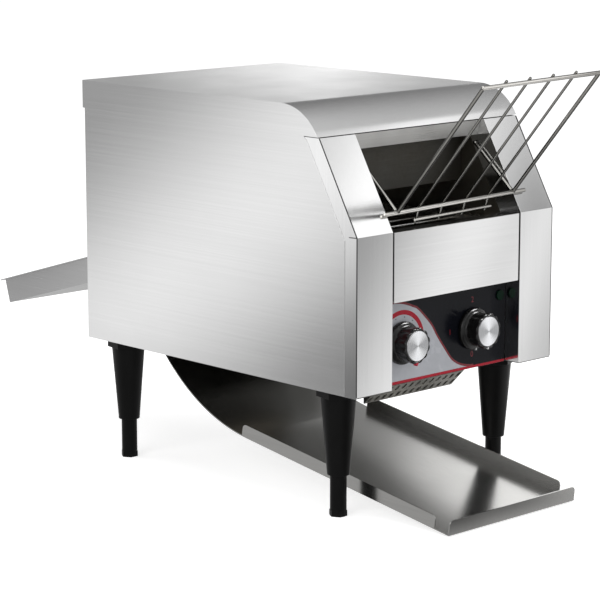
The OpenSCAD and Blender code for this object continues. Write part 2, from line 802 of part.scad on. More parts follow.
module conveyor_sprockets(y) translate([0, y, conveyor_z]) for (x = [-chain_x, chain_x]) difference() {
    union() {
        across(x - sprocket_t / 2, sprocket_t)
            sprocket_outline(chain_teeth, chain_pitch_r, roller_r, shaft_r);
        bar_x(x > 0 ? x - hub_t : x, x > 0 ? x : x + hub_t, 0, 0, hub_r);
    }
    bar_x(x - 2 * hub_t, x + 2 * hub_t, 0, 0, shaft_r);
}
module idler_sprockets() seated() color("gray") conveyor_sprockets(idler_y);
module drive_sprockets() seated() color("gray") conveyor_sprockets(drive_y);

module idler_shaft() seated() color("silver") bar_x(-shaft_end, shaft_end, idler_y, conveyor_z, shaft_r);
module drive_shaft() seated() color("silver")
    bar_x(-shaft_end, drive_x + drive_hub_t + 2, drive_y, conveyor_z, shaft_r);

module shaft_bearings() seated() color("goldenrod")
    for (s = [0, 1]) mirror([s, 0, 0]) for (y = [idler_y, drive_y]) difference() {
        union() {
            bar_x(wall_x - bearing_flange_t, wall_x, y, conveyor_z, bearing_flange_r);
            bar_x(wall_x - eps, wall_x + sheet + bearing_out, y, conveyor_z, bearing_r);
        }
        bar_x(wall_x - 3, wall_x + sheet + bearing_out + 1, y, conveyor_z, shaft_r + running);
    }

conveyor_pts = loop_points(chain_pitch, chain_pitch_r, chain_teeth, chain_span);
module conveyor_chain() translate([0, idler_y, conveyor_z])
    chain_loop(conveyor_pts, chain_x, chain_gap, plate_t, plate_r, plate_waist, roller_r);
module right_conveyor_chain() seated() color("gray") conveyor_chain();
module left_conveyor_chain() seated() color("gray") left_hand() conveyor_chain();

module conveyor_rods() seated() color("silver") translate([0, idler_y, conveyor_z])
    for (i = [0:2:len(conveyor_pts) - 1])
        bar_x(-belt_w / 2, belt_w / 2, conveyor_pts[i][0], conveyor_pts[i][1], rod_r);

// ---- drive ----

module drive_sprocket(y, z, bore) translate([0, y, z]) rotate([drive_angle, 0, 0]) difference() {
    union() {
        across(drive_x - drive_sprocket_t / 2, drive_sprocket_t)
            sprocket_outline(drive_teeth, drive_pitch_r, drive_roller_r, bore);
        bar_x(drive_x - drive_hub_t, drive_x, 0, 0, drive_hub_r);
    }
    bar_x(drive_x - drive_hub_t - 1, drive_x + drive_hub_t + 1, 0, 0, bore);
}
module driven_sprocket() seated() color("gray") drive_sprocket(drive_y, conveyor_z, shaft_r);
module motor_sprocket() seated() color("gray") drive_sprocket(motor_y, motor_z, motor_shaft_r);

drive_pts = loop_points(drive_pitch, drive_pitch_r, drive_teeth, drive_span);
module drive_chain() seated() color("dimgray")
    translate([0, motor_y, motor_z]) rotate([drive_angle, 0, 0])
        chain_loop(drive_pts, drive_x, drive_gap, drive_plate_t, drive_plate_r, drive_waist,
            drive_roller_r);

module gear_motor() seated() color("slategray") difference() {
    union() {
        span([gearbox_x - gearbox_l, motor_y - gearbox_w / 2, motor_z - gearbox_w / 2],
            [gearbox_x, motor_y + gearbox_w / 2, motor_z + gearbox_w / 2]);
        bar_x(motor_x - motor_l, motor_x + eps, motor_y, motor_z, motor_r);
        bar_x(motor_x - motor_l - motor_cap_t, motor_x - motor_l + eps, motor_y, motor_z, motor_cap_r);
    }
    bar_x(motor_bore_x - 1, gearbox_x + 1, motor_y, motor_z, motor_shaft_r + running);
}
module motor_shaft() seated() color("silver")
    bar_x(motor_bore_x, drive_x + drive_hub_t, motor_y, motor_z, motor_shaft_r);

module fan_frame() seated() color("dimgray") translate([fan_x, fan_y, deck_z]) difference() {
    union() {
        difference() {
            translate([-fan_w / 2, -fan_w / 2, 0]) cube([fan_w, fan_w, fan_t]);
            translate([0, 0, -1]) cylinder(h = fan_t + 2, r = fan_bore_r);
        }
        for (k = [0:3]) rotate(k * 90 + 45) translate([0, -fan_arm_w / 2, fan_t - fan_arm_t])
            cube([fan_bore_r + 1, fan_arm_w, fan_arm_t - touch]);
        translate([0, 0, fan_t - fan_arm_t]) cylinder(h = fan_arm_t, r = fan_hub_r);
        translate([0, 0, fan_boss_z]) cylinder(h = fan_t - fan_boss_z - 1, r = fan_pin_r + 3);
    }
    translate([0, 0, fan_boss_z - 1]) cylinder(h = fan_t - fan_boss_z - 1, r = fan_pin_r + running);
}

module fan_rotor() seated() color("black") translate([fan_x, fan_y, deck_z]) {
    difference() {
        translate([0, 0, fan_arm_t]) cylinder(h = fan_hub_h, r = fan_hub_r);
        translate([0, 0, fan_boss_z - 1]) cylinder(h = fan_hub_h, r = fan_pin_r + 4);
    }
    translate([0, 0, fan_arm_t + 1]) cylinder(h = fan_hub_h, r = fan_pin_r);
    for (k = [0:fan_blades - 1]) rotate(k * 360 / fan_blades)
        translate([fan_hub_r - 1, 0, fan_t / 2 - 1]) rotate([fan_blade_deg, 0, 0])
            translate([0, -fan_blade_w / 2, -fan_blade_t / 2])
                cube([fan_blade_r - fan_hub_r - 1, fan_blade_w, fan_blade_t]);
}

// ---- controls ----

// Housing of a rotary control, with its threaded bush and nut through the panel
module control_housing(x, w, d) difference() {
    union() {
        span([x - w / 2, control_back, knob_z - w / 2], [x + w / 2, control_back + d, knob_z + w / 2]);
        bar_y(overlay_y - nut_t - 1, control_back + eps, x, knob_z, bush_r);
        translate([x, overlay_y, knob_z]) rotate([90, 0, 0]) cylinder(h = nut_t, r = bush_nut_r, $fn = 6);
    }
    bar_y(overlay_y - nut_t - 2, spindle_back + 1, x, knob_z, spindle_r + running);
}
module speed_regulator() seated() color("darkslategray")
    control_housing(-speed_x, regulator_w, regulator_d);
module selector_switch() seated() color("tan") control_housing(selector_x, switch_w, switch_d);

module spindle(x) bar_y(spindle_front, spindle_back, x, knob_z, spindle_r);
module speed_spindle() seated() color("silver") spindle(-speed_x);
module selector_spindle() seated() color("silver") spindle(selector_x);

// Black knob with a skirt, a fluted grip and a socket for its spindle
module knob(x) translate([x, knob_back_y, knob_z]) rotate([90, 0, 0]) difference() {
    union() {
        cylinder(h = knob_skirt_t, r = knob_skirt_r, $fn = 96);
        difference() {
            cylinder(h = knob_len - knob_cap_t, r = knob_grip_r, $fn = 96);
            for (k = [0:flutes - 1]) rotate(k * 360 / flutes)
                translate([knob_grip_r + flute_out, 0, knob_skirt_t])
                    cylinder(h = knob_len, r = flute_r, $fn = 24);
        }
    }
    translate([0, 0, -1]) cylinder(h = knob_hollow_t + 1, r = knob_hollow_r);
    translate([0, 0, -1]) cylinder(h = spindle_grip + 1.2, r = spindle_r);
}
module knob_cap(x) translate([x, knob_back_y - knob_len + knob_cap_t, knob_z]) rotate([90, 0, 0])
    difference() {
        cylinder(h = knob_cap_t, r = knob_cap_r, $fn = 96);
        translate([0, 0, knob_cap_t - cap_dish]) cylinder(h = 1, r = knob_cap_r - cap_rim, $fn = 96);
    }
module speed_knob() seated() color("black") knob(-speed_x);
module speed_knob_cap() seated() color("silver") knob_cap(-speed_x);
module selector_knob() seated() color("black") knob(selector_x);
module selector_knob_cap() seated() color("silver") knob_cap(selector_x);

module signal_lamp() seated() color("green") {
    bar_y(overlay_y - 1, control_back + 14, lamp_x, lamp_z, lamp_r);
    bar_y(overlay_y - 2, overlay_y, lamp_x, lamp_z, lamp_r + lamp_bezel);
}

// ---- electrics ----

module terminal_block() seated() color("ivory") difference() {
    pitch = block_l / block_ways;
    span([block_x, block_y, deck_z], [block_x + block_l, block_y + block_d, deck_z + block_h]);
    for (i = [0:block_ways - 1])
        translate([block_x + (i + 0.5) * pitch, block_y + block_d / 2, deck_z + block_floor])
            cylinder(h = block_h, r = pitch / 5);
}

module cable_gland() seated() color("black") difference() {
    union() {
        bar_y(rear_y - gland_in, body_d + gland_out, -gland_x, gland_z, gland_r);
        for (y = [body_d + gland_nut_t, rear_y]) translate([-gland_x, y, gland_z]) rotate([90, 0, 0])
            cylinder(h = gland_nut_t, r = gland_nut_r, $fn = 6);
    }
    bar_y(rear_y - gland_in - 1, body_d + gland_out + 1, -gland_x, gland_z, gland_bore);
}

// Bundled leads from the terminal block through the left wall to the heating rods
module wiring_harness() seated() color("white") {
    x = -(heater_end + terminal_l / 2);
    start = [block_x + block_l / 2 - block_l / block_ways, block_y + block_d / 2, deck_z + block_h];
    run_z = upper_heater_z - lead_drop;
    tied_bundle([start, [start[0], start[1], harness_z], [start[0], harness_y, harness_z],
        [x, harness_y, harness_z], [x, harness_y, run_z], [x, upper_heater_y[0] - harness_end, run_z]],
        harness_r);
    rod([x, harness_y - harness_end, run_z], [x, upper_heater_y[2] + harness_end, run_z], branch_r);
    for (y = upper_heater_y) rod([x, y, run_z], [x, y, upper_heater_z - terminal_r], lead_r);
}

// ---- rack, slide and chute ----

// Point of the rack, x right of its middle: s up from the crossbar, off behind its bars' plane
function on_rack(x, s, off) = [x + rack_shift, crossbar_y - s * cos(rack_tilt) + off * sin(rack_tilt),
    crossbar_z + s * sin(rack_tilt) + off * cos(rack_tilt)]
    + x * tan(rack_skew) * [0, cos(slope_deg), sin(slope_deg)];

// Point a distance s down an inner wire's tail and off in front of it
function on_tail(x, s, off) = on_rack(x, 0, rack_wire_off)
    + [0, s * cos(tail_deg) - off * sin(tail_deg), -s * sin(tail_deg) - off * cos(tail_deg)];

// Wire rack: crossbar on the posts, six wires up to the top rod, legs back to the pivots
module feed_rack() seated() color("silver") {
    rod(on_rack(-crossbar_half, 0, 0), on_rack(crossbar_half, 0, 0), rack_bar_r);
    rod(on_rack(-rack_top_half, rack_len, 0), on_rack(rack_top_half, rack_len, 0), rack_bar_r);
    for (i = [-1.5:1:1.5]) inner_wire(i * rack_pitch);
    bar_s = rack_tail * rack_bar_at;
    bar_off = 2 * rack_wire_r - rack_weld;
    rod(on_tail(-rack_bar_short, bar_s, bar_off), on_tail(rack_bar_short, bar_s, bar_off), rack_wire_r);
    for (x = [-pivot_leg_x, pivot_leg_x]) {
        rod(on_rack(x, rack_len, 0), on_rack(x, 0, 0), rack_leg_r);
        rod(on_rack(x, 0, 0), [x + rack_shift, pivot_y, pivot_z], rack_leg_r);
    }
    bar_x(-pivot_end, rack_shift - pivot_leg_x + rack_bar_r, pivot_y, pivot_z, rack_bar_r);
    bar_x(rack_shift + pivot_leg_x - rack_bar_r, pivot_end, pivot_y, pivot_z, rack_bar_r);
}

// Wire that lies on both bars and turns down behind the crossbar
module inner_wire(x) {
    rod(on_rack(x, 0, rack_wire_off), on_rack(x, rack_len + rack_nub, rack_wire_off), rack_wire_r);
    rod(on_rack(x, 1, rack_wire_off), on_tail(x, rack_tail, 0), rack_wire_r - 0.1);
}

// Side outline of the space in front of the slide's sheet drawn as (depth, height), moved in by d,
// its two ends lengthened by e
module slide_outline(d, e) {
    function along(a) = [cos(a), sin(a)];
    function inward(a) = [-sin(a), cos(a)];
    curve_c = [curve_c_y, curve_c_z];
    half = (curve_end - tray_deg) / 2;
    front = [-tray_out, tray_low_z] + d * inward(tray_deg) - e * along(tray_deg);
    corner = curve_c - (slide_r - d) / cos(half) * inward(tray_deg + half);
    top = [hook_y, hook_top_z] + d * inward(curve_end) + e * along(curve_end);
    difference() {
        polygon([front, corner, top, top + (hook_l + e) * inward(curve_end),
            front + (hook_l + e) * inward(tray_deg)]);
        difference() {
            polygon([curve_c, curve_c - 2 * slide_r * inward(tray_deg),
                curve_c - 2 * slide_r * inward(curve_end)]);
            translate(curve_c) circle(r = slide_r - d, $fn = 240);
        }
    }
}

// Section of the slide's floor: sloping tray, curve, level hook
module slide_section() {
    difference() {
        slide_outline(0, 0);
        slide_outline(sheet, 1);
    }
    translate([hook_y - hook_lap, hook_top_z - sheet]) square([hook_l + hook_lap, sheet]);
}

// A plate with two rounded corners on its upper edge
module flange_plate(l, h, r) {
    square([l, h - r]);
    translate([r, 0]) square([l - 2 * r, h]);
    for (x = [r, l - r]) translate([x, h - r]) circle(r = r, $fn = 32);
}

module discharge_slide() seated() color("silver") {
    across(-slide_half, 2 * slide_half) slide_section();
    for (x = [-slide_half, slide_half - sheet]) across(x, sheet)
        translate([-tray_out, tray_low_z]) rotate(tray_deg) translate([tray_flange_end, sheet / 2])
            flange_plate(tray_l + tray_flange_back - tray_flange_end, tray_flange_h - sheet / 2,
                tray_corner);
    translate([0, -tray_out, tray_low_z]) rotate([lip_deg, 0, 0]) translate([-lip_half, 0, -sheet])
        linear_extrude(sheet) flange_plate(2 * lip_half, tray_lip_h, tray_corner);
}

// Channel with turned hems, hooked over the sill of the rear outlet
module rear_chute() seated() color("silver") {
    intersection() {
        translate([0, body_d, sill_z + sheet]) rotate([-chute_deg, 0, 0]) chute_channel();
        span([-2 * chute_half, chute_y, 0], [2 * chute_half, rear_end + 1, top_z]);
    }
    span([-tongue_half, rear_y - touch - sheet, sill_z], [tongue_half, chute_y + sheet, sill_z + sheet]);
    span([-tongue_half, rear_y - touch - sheet, sill_z - chute_hook],
        [tongue_half, rear_y - touch, sill_z + sheet]);
    span([-tongue_half, chute_y, sill_z - chute_back], [tongue_half, chute_y + sheet, sill_z + sheet]);
}

module chute_channel() {
    over = 20;
    l = chute_len + over;
    translate([-chute_half, -over, -sheet]) cube([2 * chute_half, l, sheet]);
    for (s = [0, 1]) mirror([s, 0, 0]) {
        translate([chute_half - sheet, -over, -sheet]) cube([sheet, l, chute_wall + sheet]);
        translate([chute_half - sheet, -over, chute_wall - sheet]) cube([chute_hem + sheet, l, sheet]);
    }
}

// ---- legs ----

module leg(x, y) translate([x, y, 0]) difference() {
    union() {
        translate([0, 0, base_z - collar_t]) rotate(collar_turn)
            cylinder(h = collar_t, r = collar_af / sqrt(3), $fn = 6);
        translate([0, 0, leg_neck_z])
            cylinder(h = base_z - collar_t - leg_neck_z, r1 = leg_low_r, r2 = leg_top_r, $fn = 64);
        translate([0, 0, base_z - eps]) cylinder(h = sheet + leg_nut_t + 3, r = stud_r);
    }
    translate([0, 0, leg_neck_z - 1])
        cylinder(h = foot_stem_top - leg_neck_z + foot_travel + 3, r = foot_r + running);
}
module foot(x, y) translate([x, y, 0]) {
    cylinder(h = foot_pad_t, r = foot_pad_r, $fn = 6);
    cylinder(h = foot_stem_top, r = foot_r);
}
module front_left_leg() seated() color("black") leg(-leg_x, leg_front_y);
module front_right_leg() seated() color("black") leg(leg_x, leg_front_y);
module rear_left_leg() seated() color("black") leg(-leg_x, leg_rear_y);
module rear_right_leg() seated() color("black") leg(leg_x, leg_rear_y);
module front_left_foot() seated() color("black") foot(-leg_x, leg_front_y);
module front_right_foot() seated() color("black") foot(leg_x, leg_front_y);
module rear_left_foot() seated() color("black") foot(-leg_x, leg_rear_y);
module rear_right_foot() seated() color("black") foot(leg_x, leg_rear_y);

// ---- fasteners ----

module leg_nuts() seated() color("silver")
    for (x = [-leg_x, leg_x]) for (y = [leg_front_y, leg_rear_y]) translate([x, y, deck_z]) difference() {
        cylinder(h = leg_nut_t, r = leg_nut_r, $fn = 6);
        translate([0, 0, -1]) cylinder(h = leg_nut_t + 2, r = stud_r);
    }

// Pan-head screws of the rear panel
module panel_screws() seated() color("silver")
    for (x = [-half_w + screw_inset, half_w - screw_inset])
        for (z = [base_z + screw_inset, base_z + body_h / 2, slope_top_z - screw_inset])
            bar_y(body_d, body_d + screw_head_t, x, z, screw_head_r);

base_plate();
left_side_panel();
right_side_panel();
left_front_post();
right_front_post();
top_cover();
rear_panel();
front_panel();
control_panel();
control_overlay();
vent_scoop();
left_inner_wall();
right_inner_wall();
front_baffle();
upper_reflector();
lower_reflector();
drop_deflector();
upper_heaters();
lower_heaters();
heater_insulators();
idler_shaft();
idler_sprockets();
drive_shaft();
drive_sprockets();
shaft_bearings();
left_conveyor_chain();
right_conveyor_chain();
conveyor_rods();
driven_sprocket();
motor_sprocket();
drive_chain();
gear_motor();
motor_shaft();
fan_frame();
fan_rotor();
speed_regulator();
speed_spindle();
speed_knob();
speed_knob_cap();
selector_switch();
selector_spindle();
selector_knob();
selector_knob_cap();
signal_lamp();
terminal_block();
cable_gland();
wiring_harness();
feed_rack();
discharge_slide();
rear_chute();
front_left_leg();
front_right_leg();
rear_left_leg();
rear_right_leg();
front_left_foot();
front_right_foot();
rear_left_foot();
rear_right_foot();
panel_screws();
leg_nuts();
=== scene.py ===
from math import cos, hypot, pi, radians, sin, tan

import bmesh
import bpy
from mathutils import Matrix, Vector
from mathutils.geometry import delaunay_2d_cdt


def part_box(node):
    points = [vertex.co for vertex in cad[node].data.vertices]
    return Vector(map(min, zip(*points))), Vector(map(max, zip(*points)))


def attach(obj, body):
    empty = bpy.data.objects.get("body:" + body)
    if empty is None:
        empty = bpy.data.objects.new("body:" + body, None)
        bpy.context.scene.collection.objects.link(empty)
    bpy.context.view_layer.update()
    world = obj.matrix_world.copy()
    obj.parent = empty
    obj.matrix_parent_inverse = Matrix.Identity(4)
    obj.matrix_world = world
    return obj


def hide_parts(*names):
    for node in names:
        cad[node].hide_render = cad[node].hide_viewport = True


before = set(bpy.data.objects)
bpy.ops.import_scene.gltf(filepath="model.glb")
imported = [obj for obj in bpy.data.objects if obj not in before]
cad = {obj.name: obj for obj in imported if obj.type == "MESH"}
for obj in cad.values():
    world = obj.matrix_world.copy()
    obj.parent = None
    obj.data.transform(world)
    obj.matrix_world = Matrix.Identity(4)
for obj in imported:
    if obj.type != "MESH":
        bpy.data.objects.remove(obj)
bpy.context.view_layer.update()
scene = bpy.context.scene
scene.view_settings.view_transform = "Standard"

# ------------------------------------------------------------------------------
# Camera: stands in front and to the left of the toaster, a little above it, with a long lens.
# ------------------------------------------------------------------------------
front_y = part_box("left_front_post")[0].y


def at(x, y, z):
    """A point given in millimetres: right of the middle, behind the posts' face, above the table."""
    return Vector((x / 1000, front_y + y / 1000, z / 1000))


camera_at = at(-1768.86, -1630.71, 676.07)
camera_aim = at(72.23, 307.62, 160.85)
camera_lens = bpy.data.cameras.new("camera")
camera_lens.sensor_width = 36.0
camera_lens.lens = 145.03
camera_lens.clip_start, camera_lens.clip_end = 0.05, 60.0
camera = bpy.data.objects.new("camera", camera_lens)
camera.location = camera_at
camera.rotation_euler = (camera_aim - camera_at).to_track_quat("-Z", "Y").to_euler()
scene.collection.objects.link(camera)
scene.camera = camera

# ------------------------------------------------------------------------------
# Studio: a white table and a white background, large soft lamps, and graduated boards that stand
# out of the picture and give each bright steel face its soft gradient.
# ------------------------------------------------------------------------------


def add(tree, kind, values=None, **settings):
    """A shader node of that kind, with its sockets and its settings filled in."""
    made = tree.nodes.new(kind)
    for key, value in settings.items():
        setattr(made, key, value)
    for key, value in (values or {}).items():
        made.inputs[key].default_value = value
    return made


def ranged(tree, source, start, end, low=0.0, high=1.0, smooth=False):
    """The source's range from start to end spread over low to high."""
    limits = {"From Min": start, "From Max": end, "To Min": low, "To Max": high}
    spread = add(tree, "ShaderNodeMapRange", limits)
    if smooth:
        spread.interpolation_type = "SMOOTHSTEP"
    tree.links.new(source, spread.inputs["Value"])
    return spread.outputs["Result"]


def mixed(tree, share, first, second):
    """Two tones mixed by a share. Each of the three is a source or a plain value."""
    blend = add(tree, "ShaderNodeMix", data_type="FLOAT")
    for key, part in (("Factor", share), ("A", first), ("B", second)):
        if isinstance(part, (int, float)):
            blend.inputs[key].default_value = part
        else:
            tree.links.new(part, blend.inputs[key])
    return blend.outputs["Result"]


def combined(tree, operation, *sources):
    """One or two sources put through a maths operation."""
    maths = add(tree, "ShaderNodeMath", operation=operation)
    for source, socket in zip(sources, maths.inputs):
        tree.links.new(source, socket)
    return maths.outputs[0]


# Tones of the background as the steel mirrors it: the ceiling, a bright patch at the rear left, and
# the horizon. Seen straight on, the background is plain white.
ceiling_rear, ceiling_front, patch_tone, horizon_tone = 0.20, 0.62, 1.05, 0.66
world = bpy.data.worlds.new("studio")
world.use_nodes = True
scene.world = world
sky = world.node_tree
direction = add(sky, "ShaderNodeTexCoord")
parts = add(sky, "ShaderNodeSeparateXYZ")
sky.links.new(direction.outputs["Generated"], parts.inputs[0])
ceiling = ranged(sky, parts.outputs["Y"], 0.65, -0.45, ceiling_rear, ceiling_front)
above = ranged(sky, parts.outputs["Z"], 0.04, 0.20, smooth=True)
rear_left = combined(sky, "MULTIPLY", ranged(sky, parts.outputs["X"], 0.30, 0.05, smooth=True),
                     ranged(sky, parts.outputs["Y"], 0.30, 0.55, smooth=True))
upper = mixed(sky, rear_left, ceiling, patch_tone)
studio_tone = mixed(sky, above, horizon_tone, upper)
paths = add(sky, "ShaderNodeLightPath")
backdrop = mixed(sky, paths.outputs["Is Camera Ray"], studio_tone, 1.0)
sky.links.new(backdrop, sky.nodes["Background"].inputs["Strength"])
sky.nodes["Background"].inputs["Color"].default_value = (1, 1, 1, 1)


def flat_sheet(name, width, height, matrix, material):
    """A flat rectangle of the studio, centred on its own origin, then placed."""
    mesh = bpy.data.meshes.new(name)
    corners = [(-width / 2, -height / 2, 0), (width / 2, -height / 2, 0),
               (width / 2, height / 2, 0), (-width / 2, height / 2, 0)]
    mesh.from_pydata(corners, [], [(0, 1, 2, 3)])
    mesh.materials.append(material)
    made = bpy.data.objects.new(name, mesh)
    made.matrix_world = matrix
    scene.collection.objects.link(made)
    return made


def bare_material(name):
    """A new material without its usual shader, and its node tree."""
    made = bpy.data.materials.new(name)
    made.use_nodes = True
    made.node_tree.nodes.remove(made.node_tree.nodes["Principled BSDF"])
    return made, made.node_tree


def surfaced(tree, share, first, second):
    """Gives a material its surface: two shaders, mixed by a share."""
    blend = add(tree, "ShaderNodeMixShader")
    for source, socket in zip((share, first.outputs[0], second.outputs[0]), blend.inputs):
        tree.links.new(source, socket)
    tree.links.new(blend.outputs[0], tree.nodes["Material Output"].inputs["Surface"])


table_glow, table_mirrored = 0.62, 0.60
table_top, tree = bare_material("table_top")
paint = add(tree, "ShaderNodeBsdfDiffuse", {"Color": (0.82, 0.82, 0.82, 1)})
seen = add(tree, "ShaderNodeLightPath")
mirrored = combined(tree, "MAXIMUM", seen.outputs["Is Glossy Ray"], seen.outputs["Is Transmission Ray"])
glow = add(tree, "ShaderNodeEmission", {"Color": (1, 1, 1, 1)})
tree.links.new(ranged(tree, seen.outputs["Is Camera Ray"], 0, 1, 0, table_glow), glow.inputs["Strength"])
both = add(tree, "ShaderNodeAddShader")
tree.links.new(paint.outputs[0], both.inputs[0])
tree.links.new(glow.outputs[0], both.inputs[1])
reflected = add(tree, "ShaderNodeEmission", {"Color": (1, 1, 1, 1), "Strength": table_mirrored})
surfaced(tree, mirrored, both, reflected)
flat_sheet("table", 30.0, 30.0, Matrix.Identity(4), table_top)


def graded_board(name, centre, right, up, width, height, lean, shift, tones):
    """A board seen in the steel alone, graded along one line and fading out at its rim.

    The line leans from the board's right hand by an angle in degrees. Each tone stands at a place
    along it in millimetres, and shift moves them all."""
    rim_start = 0.40
    made, tree = bare_material(name)
    place = add(tree, "ShaderNodeTexCoord")
    leant = add(tree, "ShaderNodeVectorRotate", {"Angle": -radians(lean)}, rotation_type="Z_AXIS")
    tree.links.new(place.outputs["Object"], leant.inputs["Vector"])
    along = add(tree, "ShaderNodeSeparateXYZ")
    tree.links.new(leant.outputs[0], along.inputs[0])
    first, last = tones[0][0], tones[-1][0]
    peak = max(tone for _, tone in tones)
    share = ranged(tree, along.outputs["X"], (first + shift) / 1000, (last + shift) / 1000)
    grade = add(tree, "ShaderNodeValToRGB")
    grade.color_ramp.interpolation = "CARDINAL"
    for index, (place_mm, tone) in enumerate(tones):
        where = (place_mm - first) / (last - first)
        stop = grade.color_ramp.elements[index] if index < 2 else grade.color_ramp.elements.new(where)
        stop.position, stop.color = where, (tone / peak, tone / peak, tone / peak, 1)
    tree.links.new(share, grade.inputs[0])
    rim = add(tree, "ShaderNodeSeparateXYZ")
    tree.links.new(place.outputs["Object"], rim.inputs[0])
    kept = []
    for axis, size in (("X", width), ("Y", height)):
        off = combined(tree, "ABSOLUTE", rim.outputs[axis])
        kept.append(ranged(tree, off, size / 2000, size * rim_start / 1000, smooth=True))
    light = add(tree, "ShaderNodeEmission", {"Strength": peak})
    tree.links.new(grade.outputs[0], light.inputs["Color"])
    clear = add(tree, "ShaderNodeBsdfTransparent")
    surfaced(tree, combined(tree, "MULTIPLY", *kept), clear, light)
    right, up = Vector(right).normalized(), Vector(up).normalized()
    turn = Matrix((right, up, right.cross(up))).transposed().to_4x4()
    board = flat_sheet(name, width / 1000, height / 1000, Matrix.Translation(at(*centre)) @ turn, made)
    board.visible_camera = board.visible_diffuse = board.visible_shadow = False
    board.visible_transmission = False


graded_board("left_board", (-450, 650, 235), (0, 1, 0), (0, 0, 1), 1080, 520, 56, -112,
             [(-240, 0.17), (-180, 0.31), (-140, 0.50), (-100, 0.71), (-60, 0.88), (0, 1.03),
              (60, 0.99), (100, 0.87), (140, 0.71), (180, 0.55), (250, 0.37)])
graded_board("front_board", (350, -300, 150), (1, 0, 0), (0, 0, 1), 620, 440, -28, -20,
             [(-190, 0.34), (-140, 0.48), (-100, 0.67), (-60, 0.86), (-20, 1.0), (15, 1.0),
              (45, 0.84), (68, 0.72), (90, 0.92), (120, 0.95), (155, 0.76), (200, 0.56)])
graded_board("slope_board", (341, -286, 598), (1, 0, 0), (0, 0.5, 0.866), 640, 560, -45, 71,
             [(-220, 0.74), (-168, 1.0), (-130, 1.28), (-80, 1.2), (-20, 0.92),
              (54, 0.56), (90, 0.34), (140, 0.2)])
graded_board("top_board", (690, 954, 505), (0.724, -0.69, 0), (0, 0, 1), 900, 230, 0, 28,
             [(-290, 0.44), (-232, 0.59), (-171, 0.76), (-111, 0.96), (-51, 1.12), (0, 1.22),
              (30, 1.18), (88, 0.95), (135, 0.77), (171, 0.68), (230, 0.62)])
graded_board("left_floor_board", (-230, 200, 2), (0, 1, 0), (1, 0, 0), 760, 420, 0, 0,
             [(-300, 0.48), (0, 0.50), (300, 0.48)])
graded_board("tray_board", (300, 230, 190), (0, 1, 0), (0, 0, 1), 560, 330, 0, 0,
             [(-180, 1.5), (-110, 1.45), (0, 1.2), (60, 0.9), (110, 0.5), (193, 0.3)])
graded_board("front_floor_board", (170, -310, 2), (1, 0, 0), (0, 1, 0), 760, 500, 0, 0,
             [(-250, 0.12), (-194, 0.15), (-100, 0.34), (0, 0.86), (60, 1.3), (120, 1.4)])


def soft_lamp(name, place, aim, width, height, watts):
    """A rectangular soft box with its face turned to a point."""
    lamp = bpy.data.lights.new(name, "AREA")
    lamp.shape = "RECTANGLE"
    lamp.size, lamp.size_y, lamp.energy = width, height, watts
    made = bpy.data.objects.new(name, lamp)
    turn = (Vector(aim) - Vector(place)).to_track_quat("-Z", "Y")
    made.matrix_world = Matrix.Translation(place) @ turn.to_matrix().to_4x4()
    scene.collection.objects.link(made)
    return made


soft_lamp("overhead_box", (0.0, -0.1, 2.4), (0, 0, 0.2), 2.4, 2.2, 22)
soft_lamp("left_box", (-2.3, -0.5, 1.2), (0, 0, 0.25), 1.6, 1.4, 16)
soft_lamp("right_box", (1.4, -2.4, 1.5), (0, -0.2, 0.25), 1.4, 1.2, 10)
knob_box = soft_lamp("knob_box", at(345, -110, 560), at(0, 0, 190), 0.42, 0.26, 9)

# ------------------------------------------------------------------------------
# Side panels and rear panel: 1.2 mm stainless sheet, brushed in long fine lines from front to
# rear, cut and punched, folded at the edges on a press brake and deburred.
# ------------------------------------------------------------------------------


def finish(name, metallic=0.0, specular=0.5):
    """A new material, its node tree and its surface shader."""
    made = bpy.data.materials.new(name)
    made.use_nodes = True
    shader = made.node_tree.nodes["Principled BSDF"]
    shader.inputs["Metallic"].default_value = metallic
    shader.inputs["Specular IOR Level"].default_value = specular
    return made, made.node_tree, shader


def drawn_noise(tree, along, fine, long):
    """Noise drawn out along one axis: so many lines a metre across it, so many a metre along it."""
    place = add(tree, "ShaderNodeTexCoord")
    stretch = add(tree, "ShaderNodeMapping", {"Scale": [long if part else fine for part in along]})
    noise = add(tree, "ShaderNodeTexNoise", {"Scale": 1.0, "Detail": 3.0, "Roughness": 0.62})
    tree.links.new(place.outputs["Object"], stretch.inputs["Vector"])
    tree.links.new(stretch.outputs[0], noise.inputs["Vector"])
    return noise.outputs["Fac"]


def cloudy_noise(tree, scale, detail=2.0):
    """Even noise with so many patches a metre."""
    place = add(tree, "ShaderNodeTexCoord")
    noise = add(tree, "ShaderNodeTexNoise", {"Scale": scale, "Detail": detail, "Roughness": 0.55})
    tree.links.new(place.outputs["Object"], noise.inputs["Vector"])
    return noise.outputs["Fac"]


# Nearly all of a noise lies between these two values.
noise_low, noise_high = 0.35, 0.65


def two_tone(tree, source, first, second, start=noise_low, end=noise_high):
    """A colour that goes from the first to the second as the source rises."""
    blend = add(tree, "ShaderNodeMix", {"A": (*first, 1), "B": (*second, 1)}, data_type="RGBA")
    tree.links.new(ranged(tree, source, start, end), blend.inputs["Factor"])
    return blend.outputs["Result"]


def coloured(tree, shader, source, first, second, start=noise_low, end=noise_high):
    """Colours the surface from the first colour to the second as the source rises."""
    tree.links.new(two_tone(tree, source, first, second, start, end), shader.inputs["Base Color"])


def glossed(tree, shader, source, low, high):
    """Spreads the surface's roughness from low to high as the source rises."""
    tree.links.new(ranged(tree, source, noise_low, noise_high, low, high), shader.inputs["Roughness"])


def relief(tree, shader, source, depth, strength=0.5):
    """Fine relief of a given depth in metres."""
    bump = add(tree, "ShaderNodeBump", {"Distance": depth, "Strength": strength})
    tree.links.new(source, bump.inputs["Height"])
    tree.links.new(bump.outputs[0], shader.inputs["Normal"])


